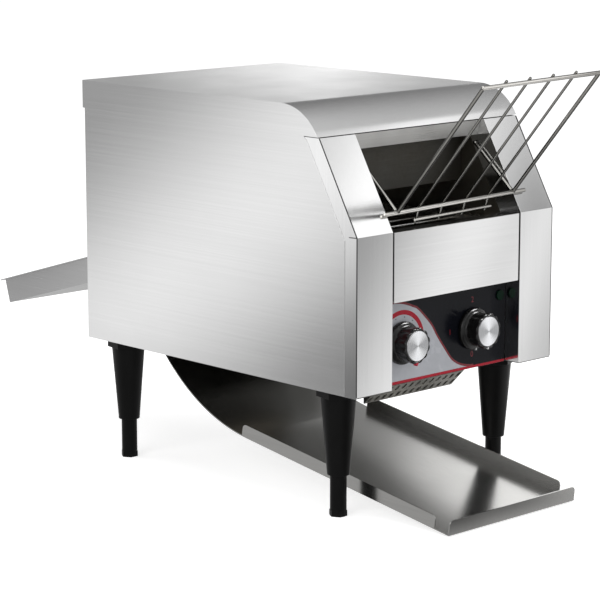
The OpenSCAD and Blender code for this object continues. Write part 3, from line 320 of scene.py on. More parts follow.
def fanned(tree, shader, amount, lines):
    """Draws highlights out across the lines of a brushed or spun surface."""
    shader.inputs["Anisotropic"].default_value = amount
    shader.inputs["Anisotropic Rotation"].default_value = 0.25
    tree.links.new(lines, shader.inputs["Tangent"])


def brushed(name, along, colour, rough, spread=0.05, tone=0.035, fine=6500, anisotropy=0.55):
    """Steel brushed in long lines along one axis, with faint wiping marks in its gloss."""
    made, tree, shader = finish(name, 1.0)
    lines = drawn_noise(tree, along, fine, 14)
    bands = drawn_noise(tree, along, fine / 10, 2)
    marks = cloudy_noise(tree, 14)
    wear = mixed(tree, 0.4, mixed(tree, 0.3, lines, bands), marks)
    glossed(tree, shader, wear, rough - spread / 2, rough + spread / 2)
    darker = [part * (1 - tone) for part in colour]
    lighter = [min(1, part * (1 + tone)) for part in colour]
    coloured(tree, shader, mixed(tree, 0.55, lines, bands), darker, lighter)
    relief(tree, shader, lines, 6e-7)
    lie = add(tree, "ShaderNodeCombineXYZ", dict(zip("XYZ", along)))
    carried = add(tree, "ShaderNodeVectorTransform",
                  vector_type="VECTOR", convert_from="OBJECT", convert_to="WORLD")
    tree.links.new(lie.outputs[0], carried.inputs[0])
    fanned(tree, shader, anisotropy, carried.outputs[0])
    return made


def clean_shading():
    """Geometry nodes that weld a part and shade it smooth up to its sharp edges."""
    group = bpy.data.node_groups.new("clean_shading", "GeometryNodeTree")
    group.interface.new_socket("Geometry", in_out="INPUT", socket_type="NodeSocketGeometry")
    group.interface.new_socket("Geometry", in_out="OUTPUT", socket_type="NodeSocketGeometry")
    start = group.nodes.new("NodeGroupInput")
    end = group.nodes.new("NodeGroupOutput")
    forget = add(group, "GeometryNodeRemoveAttribute", {"Name": "custom_normal"})
    weld = add(group, "GeometryNodeMergeByDistance", {"Distance": 2e-6})
    smooth = add(group, "GeometryNodeSetShadeSmooth", {"Shade Smooth": True}, domain="FACE")
    crease = add(group, "GeometryNodeSetShadeSmooth", {"Shade Smooth": False}, domain="EDGE")
    angle = add(group, "GeometryNodeInputMeshEdgeAngle")
    sharp = add(group, "ShaderNodeMath", {1: radians(24)}, operation="GREATER_THAN")
    group.links.new(start.outputs[0], forget.inputs["Geometry"])
    chain = (forget, weld, smooth, crease)
    for before, after in zip((start, *chain), chain):
        group.links.new(before.outputs[0], after.inputs["Geometry"])
    group.links.new(angle.outputs["Unsigned Angle"], sharp.inputs[0])
    group.links.new(sharp.outputs[0], crease.inputs["Selection"])
    group.links.new(crease.outputs[0], end.inputs[0])
    return group


deburr_nodes = clean_shading()


def dress(names, material, edge=0.3):
    """Gives CAD parts their material, clean shading and edges eased by so many millimetres."""
    for name in names:
        part = cad[name]
        part.data.materials.clear()
        part.data.materials.append(material)
        shading = part.modifiers.new("shading", "NODES")
        shading.node_group = deburr_nodes
        if edge:
            flat = part.modifiers.new("flats", "DECIMATE")
            flat.decimate_type, flat.angle_limit = "DISSOLVE", radians(0.4)
            eased = part.modifiers.new("eased_edges", "BEVEL")
            eased.width, eased.segments = edge / 1000, 2
            eased.limit_method, eased.angle_limit = "ANGLE", radians(30)
            eased.harden_normals = True


steel = (0.80, 0.80, 0.80)
side_brushed = brushed("side_brushed_steel", (0, 1, 0), steel, 0.22)
dress(["left_side_panel", "right_side_panel"], side_brushed, 0.3)
dress(["rear_panel"], brushed("rear_brushed_steel", (1, 0, 0), steel, 0.24), 0.2)

# ------------------------------------------------------------------------------
# Top cover: one brushed stainless sheet, flat on top and rolled down over the feed opening. Its
# folded flanges lap over the sides and the rear, their hems drawn as thin lines of painted
# highlight, and it lifts off for service.
# ------------------------------------------------------------------------------


def mesh_of(name, shape, smooth=True):
    """The finished mesh of a shape."""
    mesh = bpy.data.meshes.new(name)
    shape.to_mesh(mesh)
    shape.free()
    if smooth:
        mesh.shade_smooth()
    return mesh


def lofted(name, rings):
    """A smooth mesh skinned over rings of points in metres. A ring of one point closes an end."""
    shape = bmesh.new()
    layers = [[shape.verts.new(point) for point in ring] for ring in rings]
    steps = max(len(ring) for ring in rings)
    for low, high in zip(layers, layers[1:]):
        for i in range(steps):
            j = (i + 1) % steps
            corners = [low[i % len(low)], low[j % len(low)], high[j % len(high)], high[i % len(high)]]
            shape.faces.new(list(dict.fromkeys(corners)))
    bmesh.ops.recalc_face_normals(shape, faces=shape.faces)
    return mesh_of(name, shape)


def sweep(name, points, radius, steps=16):
    """A mesh of a wire of a radius in millimetres, swept along points in metres, its ends domed."""
    thick, dome_reach = radius / 1000, 0.6
    dome = [(0.0, 0.0), (0.12, 0.5), (0.35, 0.8), (0.7, 0.96), (1.0, 1.0)]
    heading = [(b - a).normalized() for a, b in zip(points, points[1:])]
    across = heading[0].orthogonal().normalized()
    stations = []
    for i, point in enumerate(points):
        before, after = heading[max(i - 1, 0)], heading[min(i, len(heading) - 1)]
        ahead = (before + after).normalized()
        across = (across - ahead * across.dot(ahead)).normalized()
        stations.append((point, ahead, across, 1 / max(0.5, ahead.dot(before))))
    (start, onward, start_side, _), (stop, outward, stop_side, _) = stations[0], stations[-1]
    stations[:1] = [(start + onward * thick * deep * dome_reach, onward, start_side, wide)
                    for deep, wide in dome]
    stations[-1:] = [(stop - outward * thick * deep * dome_reach, outward, stop_side, wide)
                     for deep, wide in dome[::-1]]
    rings = []
    for centre, ahead, across, wide in stations:
        other = ahead.cross(across)
        turns = [2 * pi * i / steps for i in range(steps if wide else 1)]
        rings.append([centre + (across * cos(turn) + other * sin(turn)) * thick * wide for turn in turns])
    return lofted(name, rings)


def mount(data, paint, body, place=(0, 0, 0), turn=(0, 0, 0)):
    """Adds a piece in its material, at its place, to the body that it moves with."""
    data.materials.append(paint)
    piece = bpy.data.objects.new(data.name, data)
    piece.location, piece.rotation_euler = place, turn
    scene.collection.objects.link(piece)
    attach(piece, body)
    return piece


cover_brushed = brushed("cover_brushed_steel", (0, 1, 0), steel, 0.20)
dress(["top_cover"], cover_brushed, 0.7)
cover_side, cover_rear, hem_r = 145.0, 418.6, 0.45
hem_heights_and_fronts = ((415.4, 100.0), (386.5, 62.0))
# The hems are thin near-white lines along the cover's flanges: painted highlight on their folded edges.
hem_highlight = brushed("hem_highlight_steel", (0, 1, 0), (0.97, 0.97, 0.97), 0.30, 0.04, 0.02)
for side in (-1, 1):
    for up_mm, start in hem_heights_and_fronts:
        path = [at(side * cover_side, start, up_mm), at(side * cover_side, cover_rear, up_mm)]
        mount(sweep("cover_hem_highlight", path, hem_r, 10), hem_highlight, "chassis")

# ------------------------------------------------------------------------------
# Front posts: folded stainless channels, polished almost mirror-bright, that close the front
# corners from the base up to the cover and carry the rack's crossbar on their slopes. Thin dark
# lines of painted shadow mark where they meet the side panels and the relief slit at each slope.
# ------------------------------------------------------------------------------


def moulded(name, colour, rough, grain=9000, depth=8e-6, specular=0.5):
    """Plastic or paint with a fine grain and a little unevenness in its gloss."""
    made, tree, shader = finish(name, 0.0, specular)
    pits = cloudy_noise(tree, grain, 3)
    patches = cloudy_noise(tree, 60)
    glossed(tree, shader, patches, rough - 0.04, rough + 0.04)
    pale = [part * 1.2 + 0.001 for part in colour]
    coloured(tree, shader, mixed(tree, 0.5, pits, patches), colour, pale)
    relief(tree, shader, pits, depth, 0.3)
    return made


post_bright = brushed("post_bright_steel", (0, 0, 1), (0.85, 0.85, 0.85), 0.14, 0.03, 0.03, anisotropy=0.2)
dress(["left_front_post", "right_front_post"], post_bright, 0.4)
corner_x, slit_x, slit_end = 143.7, 143.9, 11.0
post_foot, slope_z, top_y, top_z = 134.5, 293.0, 53.0, 385.0
corner_r, slit_r = 0.62, 0.5
joint_shadow = moulded("joint_shadow", (0.02, 0.02, 0.02), 0.5, 2000)
# Near-black tubes in each post's corner and relief slit: painted shadow of the joint and the cut.
for side in (-1, 1):
    corner = [(corner_x, 0.3, post_foot), (corner_x, 0.3, slope_z), (corner_x, top_y, top_z)]
    slit = [(slit_x, 0.5, slope_z), (slit_x, slit_end, slope_z - 0.5)]
    for path, radius in ((corner, corner_r), (slit, slit_r)):
        bead = sweep("corner_shadow_line", [at(side * x, y, z) for x, y, z in path], radius, 10)
        mount(bead, joint_shadow, "chassis")

# ------------------------------------------------------------------------------
# Front panel: a plain polished stainless cover between the posts under the feed opening, brushed
# across, its top and bottom lips turned in and spot-welded behind.
# ------------------------------------------------------------------------------
panel_bright = brushed("panel_bright_steel", (1, 0, 0), (0.84, 0.84, 0.84), 0.17, 0.04, 0.03)
dress(["front_panel"], panel_bright, 0.5)

# ------------------------------------------------------------------------------
# Base plate and vent scoop: mill-finish stainless sheet; the base plate's is painted far darker,
# as painted shade under the body. The scoop under the control panel is punched with two rows of
# short slots and folded down to draw cooling air in.
# ------------------------------------------------------------------------------
# The base plate's colour is far below stainless: painted shade under the body, which also darkens the
# scoop's slots.
base_sheet_shaded = brushed("base_sheet_painted_shade", (1, 0, 0), (0.16, 0.16, 0.155), 0.40, 0.14, 0.08, fine=2600)
dress(["base_plate"], base_sheet_shaded, 0.2)
scoop_sheet = brushed("scoop_mill_sheet", (1, 0, 0), (0.40, 0.39, 0.36), 0.38, 0.12, 0.06, fine=2600)
dress(["vent_scoop"], scoop_sheet, 0.2)

# ------------------------------------------------------------------------------
# Control panel and its overlay: a folded sheet behind a glossy printed polyester film. The film's
# black ground is its own colour; the grey field, the red lines and the marks are printed on it.
# ------------------------------------------------------------------------------
panel_back = brushed("panel_back_sheet", (1, 0, 0), (0.3, 0.3, 0.3), 0.4)
dress(["control_panel"], panel_back, 0.0)
film_black = moulded("film_black", (0.004, 0.0045, 0.007), 0.20, 4000, 2e-6, 0.12)
dress(["control_overlay"], film_black, 0.0)
film_front, film_half, film_low = 19.5, 93.5, 133.2
speed_at, selector_at = (-61.4, 175.3), (43.6, 175.3)


def inside(point, loop):
    """Whether a point lies inside a closed loop of points."""
    odd = False
    for (x0, y0), (x1, y1) in zip(loop, loop[1:] + loop[:1]):
        if (y0 > point[1]) != (y1 > point[1]) and point[0] < x0 + (point[1] - y0) * (x1 - x0) / (y1 - y0):
            odd = not odd
    return odd


def printed(name, outline, proud, ink, holes=()):
    """One field of ink on the film, its outline given across and up, standing proud in millimetres."""
    points, edges = [], []
    for loop in (outline, *holes):
        first = len(points)
        points += [Vector(point) for point in loop]
        edges += [(first + i, first + (i + 1) % len(loop)) for i in range(len(loop))]
    corners, _, faces = delaunay_2d_cdt(points, edges, [], 0, 1e-5)[:3]
    kept = []
    for face in faces:
        middle = sum((corners[i] for i in face), Vector((0, 0))) / len(face)
        if inside(middle, outline) and not any(inside(middle, hole) for hole in holes):
            kept.append(face)
    mesh = bpy.data.meshes.new(name)
    mesh.from_pydata([at(x, film_front - proud, z) for x, z in corners], [], kept)
    mount(mesh, ink, "chassis")


def arc_points(centre, radius, start, end, steps):
    """Points along an arc, its angles in degrees from the right."""
    spread = [radians(start + (end - start) * i / steps) for i in range(steps + 1)]
    return [(centre[0] + radius * cos(a), centre[1] + radius * sin(a)) for a in spread]


def flowing(points, steps=8):
    """A smooth line through points."""
    line = []
    padded = [points[0], *points, points[-1]]
    for a, b, c, d in zip(padded, padded[1:], padded[2:], padded[3:]):
        for i in range(steps):
            t = i / steps
            line.append(tuple(0.5 * (2 * b[k] + (c[k] - a[k]) * t
                                     + (2 * a[k] - 5 * b[k] + 4 * c[k] - d[k]) * t * t
                                     + (3 * b[k] - a[k] - 3 * c[k] + d[k]) * t ** 3) for k in (0, 1)))
    return line + [points[-1]]


def ribbon(line, width):
    """The outline of a band of a given width along a line."""
    left, right = [], []
    for i, (x, z) in enumerate(line):
        (x0, z0), (x1, z1) = line[max(i - 1, 0)], line[min(i + 1, len(line) - 1)]
        long = hypot(x1 - x0, z1 - z0)
        across = ((z0 - z1) / long * width / 2, (x1 - x0) / long * width / 2)
        left.append((x + across[0], z + across[1]))
        right.append((x - across[0], z - across[1]))
    return left + right[::-1]


wave_end, field_proud, line_proud, mark_proud = 46, 0.02, 0.03, 0.035
wave = flowing([(-93.5, 212.0), (-83, 215.8), (-70.8, 217.2), (-56.5, 214.7), (-45, 210.6),
                (-37.6, 207.2), (-27.2, 198.0), (-16.8, 187.2), (-9.2, 175.8), (1.5, 161.7),
                (12.2, 148.7), (20, 143.0), (27.5, 139.6), (36, 137.4), (wave_end, 136.2)])
film_grey = moulded("film_grey", (0.40, 0.41, 0.44), 0.24, 4000, 2e-6, 0.35)
film_red = moulded("film_red", (0.36, 0.004, 0.018), 0.24, 4000, 2e-6, 0.2)
film_dark_red = moulded("film_dark_red", (0.16, 0.008, 0.014), 0.24, 4000, 2e-6, 0.35)
line_low, line_high = film_low + 0.1, film_low + 3.2
field = wave + [(wave_end, line_high - 0.2), (-film_half, line_high - 0.2)]
bush_hole = arc_points(speed_at, 12, 0, 350, 35)
printed("grey_field", field, field_proud, film_grey, [bush_hole])
printed("wave_line", ribbon(wave, 2.2), line_proud, film_dark_red)
foot_line = [(-film_half, line_low), (film_half, line_low), (film_half, line_high - 0.6),
             (wave_end, line_high - 0.4), (-film_half, line_high)]
printed("foot_line", foot_line, mark_proud, film_red)
arc_outer, arc_inner, dots_r, dot_r = 33.2, 28.4, 26.0, 0.65
dial_arc = arc_points(speed_at, arc_outer, 8, 172, 60) + arc_points(speed_at, arc_inner, 172, 8, 60)
printed("dial_arc", dial_arc, mark_proud, film_red)
for index, angle in enumerate(range(24, 170, 28)):
    spot = arc_points(arc_points(speed_at, dots_r, angle, angle, 1)[0], dot_r, 0, 330, 11)
    printed(f"dial_dot_{index}", spot, mark_proud, film_black)
numerals = {"0": (0, -27.4), "1": (-33.5, 0), "2": (0, 30.0), "3": (30.5, 0)}
for number, (across_mm, up_mm) in numerals.items():
    letter = bpy.data.curves.new("numeral_" + number, "FONT")
    letter.body, letter.size = number, 0.0085
    letter.align_x, letter.align_y = "CENTER", "CENTER"
    letter.resolution_u = 6
    spot = at(selector_at[0] + across_mm, film_front - line_proud, selector_at[1] + up_mm)
    mount(letter, film_dark_red, "chassis", spot, (radians(90), 0, 0))

# ------------------------------------------------------------------------------
# Toasting chamber: inner walls, reflectors and the drop deflector, of thin plain steel sheet. Heat
# has tinted the reflectors straw and brown and dulled them. The chamber's and reflectors' sheet is
# also painted far darker than steel: painted shade inside the chamber.
# ------------------------------------------------------------------------------


def heat_tinted(name, colour, tint, rough):
    """Rolled sheet that has been hot: dull, with straw and brown patches over its rolling lines."""
    made, tree, shader = finish(name, 1.0)
    lines = drawn_noise(tree, (1, 0, 0), 2400, 30)
    patches = cloudy_noise(tree, 9, 4)
    worn = mixed(tree, 0.5, lines, cloudy_noise(tree, 240, 3))
    coloured(tree, shader, mixed(tree, 0.25, patches, lines), colour, tint)
    glossed(tree, shader, worn, rough - 0.08, rough + 0.08)
    relief(tree, shader, worn, 4e-6)
    return made


# These sheets are partly heat tint and partly painted shade: their base colours are far darker than steel.
chamber_sheet_shaded = heat_tinted("chamber_sheet_shaded", (0.20, 0.19, 0.17), (0.15, 0.13, 0.10), 0.42)
dress(["left_inner_wall", "right_inner_wall", "drop_deflector"], chamber_sheet_shaded, 0.0)
reflector_sheet = heat_tinted("reflector_sheet", (0.095, 0.095, 0.088), (0.07, 0.062, 0.05), 0.5)
dress(["upper_reflector", "lower_reflector"], reflector_sheet, 0.0)
baffle_sheet = brushed("baffle_sheet", (1, 0, 0), (0.52, 0.515, 0.50), 0.30, 0.06, 0.05)
dress(["front_baffle"], baffle_sheet, 0.0)

# ------------------------------------------------------------------------------
# Heating rods and their bushes: rods in an oxidised heat-proof sheath, held at each end in bushes
# of pale unglazed steatite that slip into the inner walls.
# ------------------------------------------------------------------------------
rod_oxide = heat_tinted("rod_oxide", (0.09, 0.075, 0.06), (0.04, 0.035, 0.03), 0.55)
dress(["upper_heaters", "lower_heaters"], rod_oxide, 0.0)
steatite = moulded("steatite", (0.72, 0.70, 0.63), 0.5, 1800)
dress(["heater_insulators"], steatite, 0.0)

# ------------------------------------------------------------------------------
# Conveyor: two shafts in bronze bearings carry four sprockets and a pair of roller chains, with
# plated cross rods that the bread rides on. All of it is oiled, worn bright where it rubs.
# ------------------------------------------------------------------------------


def turned_steel(name, colour, rough, along=(1, 0, 0)):
    """Bar stock turned and plated: fine rings across its length and small dull spots."""
    made, tree, shader = finish(name, 1.0)
    rings = drawn_noise(tree, [0 if part else 1 for part in along], 30, 4200)
    spots = cloudy_noise(tree, 420, 3)
    glossed(tree, shader, mixed(tree, 0.5, rings, spots), rough - 0.05, rough + 0.08)
    coloured(tree, shader, spots, [part * 0.86 for part in colour], colour)
    relief(tree, shader, rings, 1e-6)
    return made


def oiled_steel(name, colour, rough):
    """Punched and hardened chain steel with dark oil in its low places."""
    made, tree, shader = finish(name, 1.0)
    patches = cloudy_noise(tree, 180, 4)
    specks = cloudy_noise(tree, 1500, 3)
    oily = [part * 0.45 for part in colour]
    coloured(tree, shader, mixed(tree, 0.35, patches, specks), oily, colour)
    glossed(tree, shader, patches, rough - 0.1, rough + 0.12)
    relief(tree, shader, specks, 8e-6)
    return made


plated = turned_steel("plated_bar", (0.66, 0.66, 0.65), 0.22)
dress(["idler_shaft", "drive_shaft", "motor_shaft", "conveyor_rods"], plated, 0.2)
chain_oiled = oiled_steel("chain_oiled_steel", (0.36, 0.34, 0.31), 0.38)
dress(["idler_sprockets", "drive_sprockets", "left_conveyor_chain", "right_conveyor_chain"],
      chain_oiled, 0.0)
bearing_bronze = oiled_steel("bearing_bronze", (0.60, 0.38, 0.17), 0.34)
dress(["shaft_bearings"], bearing_bronze, 0.2)

# ------------------------------------------------------------------------------
# Drive: a geared motor under the deck turns the rear shaft through a short roller chain and two
# hardened sprockets. The gear case is cast and painted dark grey.
# ------------------------------------------------------------------------------
dress(["driven_sprocket", "motor_sprocket", "drive_chain"], chain_oiled, 0.0)
case_paint = moulded("cast_case_paint", (0.075, 0.08, 0.085), 0.42, 1400, 4e-5)
dress(["gear_motor"], case_paint, 1.0)

# ------------------------------------------------------------------------------
# Cooling fan: a square frame and a five-bladed rotor moulded in black plastic, screwed over the
# grille in the base plate.
# ------------------------------------------------------------------------------
fan_plastic = moulded("fan_plastic", (0.012, 0.012, 0.012), 0.4)
dress(["fan_frame", "fan_rotor"], fan_plastic, 0.3)

# ------------------------------------------------------------------------------
# Controls behind the panel: the speed regulator and the selector switch in moulded housings, on
# threaded bushes, with turned and plated spindles.
# ------------------------------------------------------------------------------
housing = moulded("switch_housing", (0.020, 0.019, 0.018), 0.38)
dress(["speed_regulator", "selector_switch"], housing, 0.3)
spindle_steel = turned_steel("spindle_steel", (0.66, 0.66, 0.65), 0.24, (0, 1, 0))
dress(["speed_spindle", "selector_spindle"], spindle_steel, 0.2)

# ------------------------------------------------------------------------------
# Control knobs: glossy black mouldings with a rounded skirt, a neck and a scalloped grip, pushed on
# the spindles. The speed knob has a red pointer, the selector has white marks.
# ------------------------------------------------------------------------------
knob_back, scallops = 19.0, 12
black_plastic = moulded("black_plastic", (0.005, 0.005, 0.005), 0.20, specular=0.45)
knob_profile = [(3.6, 19.0, 0), (0.0, 19.2, 0), (0.0, 21.3, 0), (0.3, 21.75, 0), (0.9, 22.0, 0),
                (3.2, 22.0, 0), (4.2, 21.75, 0), (5.0, 21.1, 0), (5.6, 20.1, 0), (5.95, 19.0, 0),
                (6.3, 18.1, 0), (6.9, 17.5, 0.1), (8.0, 17.2, 0.4), (10.0, 17.3, 0.8),
                (13.0, 17.6, 1.1), (17.0, 18.05, 1.35), (20.0, 18.4, 1.5), (21.3, 18.5, 1.5),
                (22.0, 18.35, 1.45), (22.4, 18.0, 1.35), (22.6, 17.5, 1.2), (22.6, 16.9, 0.7),
                (22.5, 16.3, 0.2), (22.2, 15.85, 0), (20.0, 15.7, 0), (19.9, 0.0, 0)]


def turned_mesh(name, profile, steps, lobes=0):
    """A mesh spun round a spindle's axis: (forward, radius, scallop depth) from the knob's back."""
    rings = []
    for forward, radius, cut in profile:
        ring = []
        for i in range(steps if radius else 1):
            turn = 2 * pi * i / steps
            reach = (radius - cut * (0.5 + 0.5 * cos(lobes * turn)) ** 1.4) / 1000
            ring.append((reach * sin(turn), (knob_back - forward) / 1000, -reach * cos(turn)))
        rings.append(ring)
    return lofted(name, rings)


def small_wedge(name, centre, corners, front, back, paint, body):
    """A small flat mark with an outline round the spindle's axis and a thickness along it."""
    shape = bmesh.new()
    layers = [[shape.verts.new((x / 1000, y / 1000, z / 1000)) for x, z in corners] for y in (front, back)]
    shape.faces.new(layers[0])
    shape.faces.new(layers[1][::-1])
    for i in range(len(corners)):
        j = (i + 1) % len(corners)
        shape.faces.new((layers[0][j], layers[0][i], layers[1][i], layers[1][j]))
    bmesh.ops.recalc_face_normals(shape, faces=shape.faces)
    bmesh.ops.bevel(shape, geom=shape.edges[:], offset=0.00012, segments=2, affect="EDGES")
    mount(mesh_of(name, shape, smooth=False), paint, body, at(centre[0], 0, centre[1]))


dials = (("speed_knob", speed_at, "speed_dial"), ("selector_knob", selector_at, "selector_dial"))
lit_knobs = bpy.data.collections.new("lit_knobs")
knob_box.light_linking.receiver_collection = lit_knobs
for knob_name, centre, body in dials:
    moulding = turned_mesh(knob_name + "_moulding", knob_profile, 192, scallops)
    knob = mount(moulding, black_plastic, body, at(centre[0], 0, centre[1]))
    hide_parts(knob_name)
    lit_knobs.objects.link(knob)
mark_red = moulded("mark_red", (0.42, 0.010, 0.035), 0.3, 3000)
mark_white = moulded("mark_white", (0.70, 0.70, 0.70), 0.4, 3000)
pointer = [(-2.3, -17.3), (2.3, -17.3), (0.35, -20.6), (-0.35, -20.6)]
small_wedge("speed_pointer", speed_at, pointer, -3.2, 1.5, mark_red, "speed_dial")
grip_tick = [(-0.5, -16.2), (0.5, -16.2), (0.5, -18.7), (-0.5, -18.7)]
small_wedge("selector_grip_mark", selector_at, grip_tick, -3.75, -1.0, mark_white, "selector_dial")
skirt_tick = [(-0.5, -19.6), (0.5, -19.6), (0.5, -22.0), (-0.5, -22.0)]
small_wedge("selector_skirt_mark", selector_at, skirt_tick, 12.9, 15.5, mark_white, "selector_dial")

# ------------------------------------------------------------------------------
# Knob caps: discs pressed from aluminium sheet, spun bright with fine rings, their rims turned back
# and glued into the knobs' fronts.
# ------------------------------------------------------------------------------


def spun(name, colour, rough):
    """Spun metal: fine rings that fan the light out, with a painted highlight in two sectors."""
    made, tree, shader = finish(name, 1.0)
    place = add(tree, "ShaderNodeTexCoord")
    flat = add(tree, "ShaderNodeMapping", {"Scale": (1, 0, 1)})
    tree.links.new(place.outputs["Object"], flat.inputs["Vector"])
    radius = add(tree, "ShaderNodeVectorMath", operation="LENGTH")
    tree.links.new(flat.outputs[0], radius.inputs[0])
    noise = add(tree, "ShaderNodeTexNoise", {"Scale": 5200.0, "Detail": 3.0}, noise_dimensions="1D")
    tree.links.new(radius.outputs["Value"], noise.inputs["W"])
    rings = noise.outputs["Fac"]
    glossed(tree, shader, rings, rough - 0.03, rough + 0.05)
    unit = add(tree, "ShaderNodeVectorMath", operation="NORMALIZE")
    tree.links.new(flat.outputs[0], unit.inputs[0])
    turn = add(tree, "ShaderNodeSeparateXYZ")
    tree.links.new(unit.outputs[0], turn.inputs[0])
    # Two lighter sectors above and below the axis are painted into the colour: a painted highlight on top
    # of the spun rings.
    fan = combined(tree, "ABSOLUTE", turn.outputs["Z"])
    rings_and_painted_sectors = mixed(tree, 0.12, ranged(tree, fan, 0.35, 1.0, 0.28, 0.72), rings)
    dark_rings_and_shade = [part * 0.55 for part in colour]
    coloured(tree, shader, rings_and_painted_sectors, dark_rings_and_shade, colour, 0.3, 0.7)
    relief(tree, shader, rings, 1.5e-6)
    around = add(tree, "ShaderNodeTangent", direction_type="RADIAL", axis="Y")
    fanned(tree, shader, 0.9, around.outputs[0])
    return made


cap_spun = spun("cap_spun_aluminium", (0.90, 0.91, 0.93), 0.24)
cap_profile = [(20.2, 15.3, 0), (21.6, 15.5, 0), (22.4, 15.45, 0), (22.75, 15.25, 0), (22.9, 14.9, 0),
               (22.86, 14.4, 0), (22.9, 10.0, 0), (22.94, 5.0, 0), (22.96, 1.0, 0), (22.96, 0.0, 0)]
for knob_name, centre, body in dials:
    disc = turned_mesh(knob_name + "_cap_disc", cap_profile, 128)
    cap = mount(disc, cap_spun, body, at(centre[0], 0, centre[1]))
    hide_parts(knob_name + "_cap")

# ------------------------------------------------------------------------------
# Signal lamp: a small domed lens with a round rim, moulded in dark green acrylic and snapped into
# the panel from the front.
# ------------------------------------------------------------------------------
lens_green = moulded("lens_green", (0.0005, 0.014, 0.006), 0.12, 2500, 2e-6, 0.1)
dress(["signal_lamp"], lens_green, 0.8)

# ------------------------------------------------------------------------------
# Wiring: a nylon terminal block, leads in glass-fibre sleeves tied in one bundle, and the nylon
# gland where the cord would enter.
# ------------------------------------------------------------------------------
terminal_nylon = moulded("terminal_nylon", (0.70, 0.68, 0.60), 0.4, 1500)
dress(["terminal_block"], terminal_nylon, 0.3)


def woven_sleeve(name, colour):
    """Braided glass-fibre sleeving."""
    made, tree, shader = finish(name)
    braid = cloudy_noise(tree, 1600, 1)
    dirt = cloudy_noise(tree, 40, 3)
    stained = [part * 0.7 for part in colour]
    coloured(tree, shader, mixed(tree, 0.5, braid, dirt), stained, colour)
    tree.links.new(ranged(tree, braid, 0.3, 0.7, 0.6, 0.8), shader.inputs["Roughness"])
    relief(tree, shader, braid, 1.2e-4, 0.7)
    return made


dress(["wiring_harness"], woven_sleeve("glass_sleeve", (0.62, 0.60, 0.52)), 0.0)
dress(["cable_gland"], black_plastic, 0.4)

# ------------------------------------------------------------------------------
# Feed rack: stainless wires, drawn bright, cut and resistance-welded. Four wires and two legs run
# from the crossbar on the posts up to the top rod. The wires' tails carry a short bar, and the legs
# run back to pivots in the chamber's walls.
# ------------------------------------------------------------------------------
slope, slope_foot, bar_up, bar_r = radians(60.0), 293.0, 20.5, 2.2
leg_r, wire_r, weld_sink = 2.0, 1.4, 0.4
rack_tilt, rack_length, rack_over, rack_skew = radians(49.6), 172.0, 5.0, radians(1.2)
bar_out = bar_r + 0.3
bar_y = bar_up * cos(slope) - bar_out * sin(slope)
bar_z = slope_foot + bar_up * sin(slope) + bar_out * cos(slope)
wire_off, wire_past, tail_length, tail_drop = bar_r + wire_r - weld_sink, 3.0, 19.0, radians(70)
bar_half, leg_across, wire_across = 105.4, 86.25, (-51.75, -17.25, 17.25, 51.75)
pivot_y, pivot_z, pin_end = 61.99, 360.0, 99.6
short_half, short_down, short_off = 57.75, 13.3, 2 * wire_r - weld_sink


def rack_point(x, up, off=0.0):
    """A point of the rack: across it, up its wires from the crossbar, and off its plane."""
    lift = x * tan(rack_skew)
    return at(x + rack_over, bar_y - up * cos(rack_tilt) + off * sin(rack_tilt) + lift * cos(slope),
              bar_z + up * sin(rack_tilt) + off * cos(rack_tilt) + lift * sin(slope))


def tail_point(x, down, off=0.0):
    """A point of the wires' tails below the crossbar."""
    start = rack_point(x, 0, wire_off)
    return start + Vector((0, down * cos(tail_drop) - off * sin(tail_drop),
                           -down * sin(tail_drop) - off * cos(tail_drop))) / 1000


def wire_steel(name, core_tone, painted_side_tone, start, end):
    """Drawn wire with painted light: a pale core between sides painted dark, a painted reflection."""
    made, tree, shader = finish(name, 1.0)
    edge = add(tree, "ShaderNodeLayerWeight", {"Blend": 0.5})
    draw = cloudy_noise(tree, 900, 3)
    stains = cloudy_noise(tree, 70, 2)
    core = two_tone(tree, mixed(tree, 0.5, draw, stains), [0.85 * part for part in core_tone], core_tone)
    side = add(tree, "ShaderNodeMix", {"B": (*painted_side_tone, 1)}, data_type="RGBA")
    tree.links.new(ranged(tree, edge.outputs["Facing"], start, end, smooth=True), side.inputs["Factor"])
    tree.links.new(core, side.inputs["A"])
    tree.links.new(side.outputs["Result"], shader.inputs["Base Color"])
    glossed(tree, shader, draw, 0.14, 0.24)
    relief(tree, shader, draw, 2e-6)
    return made


# The wires get a darker copy of the steel and the bars a lighter one: painted shade and painted light.
# Both have painted dark sides.
rack_wire_shaded = wire_steel("rack_wire_painted_shade", (0.50, 0.49, 0.46), (0.035, 0.034, 0.032), 0.04, 0.36)
rack_bar_lit = wire_steel("rack_bar_painted_light", (0.80, 0.78, 0.74), (0.12, 0.115, 0.11), 0.30, 0.75)
top_half = leg_across + bar_r
bars = {
    "rack_crossbar": ([rack_point(-bar_half, 0), rack_point(bar_half, 0)], bar_r),
    "rack_top_rod": ([rack_point(-top_half, rack_length), rack_point(top_half, rack_length)], bar_r),
    "rack_short_bar": ([tail_point(-short_half, short_down, short_off),
                        tail_point(short_half, short_down, short_off)], wire_r),
}
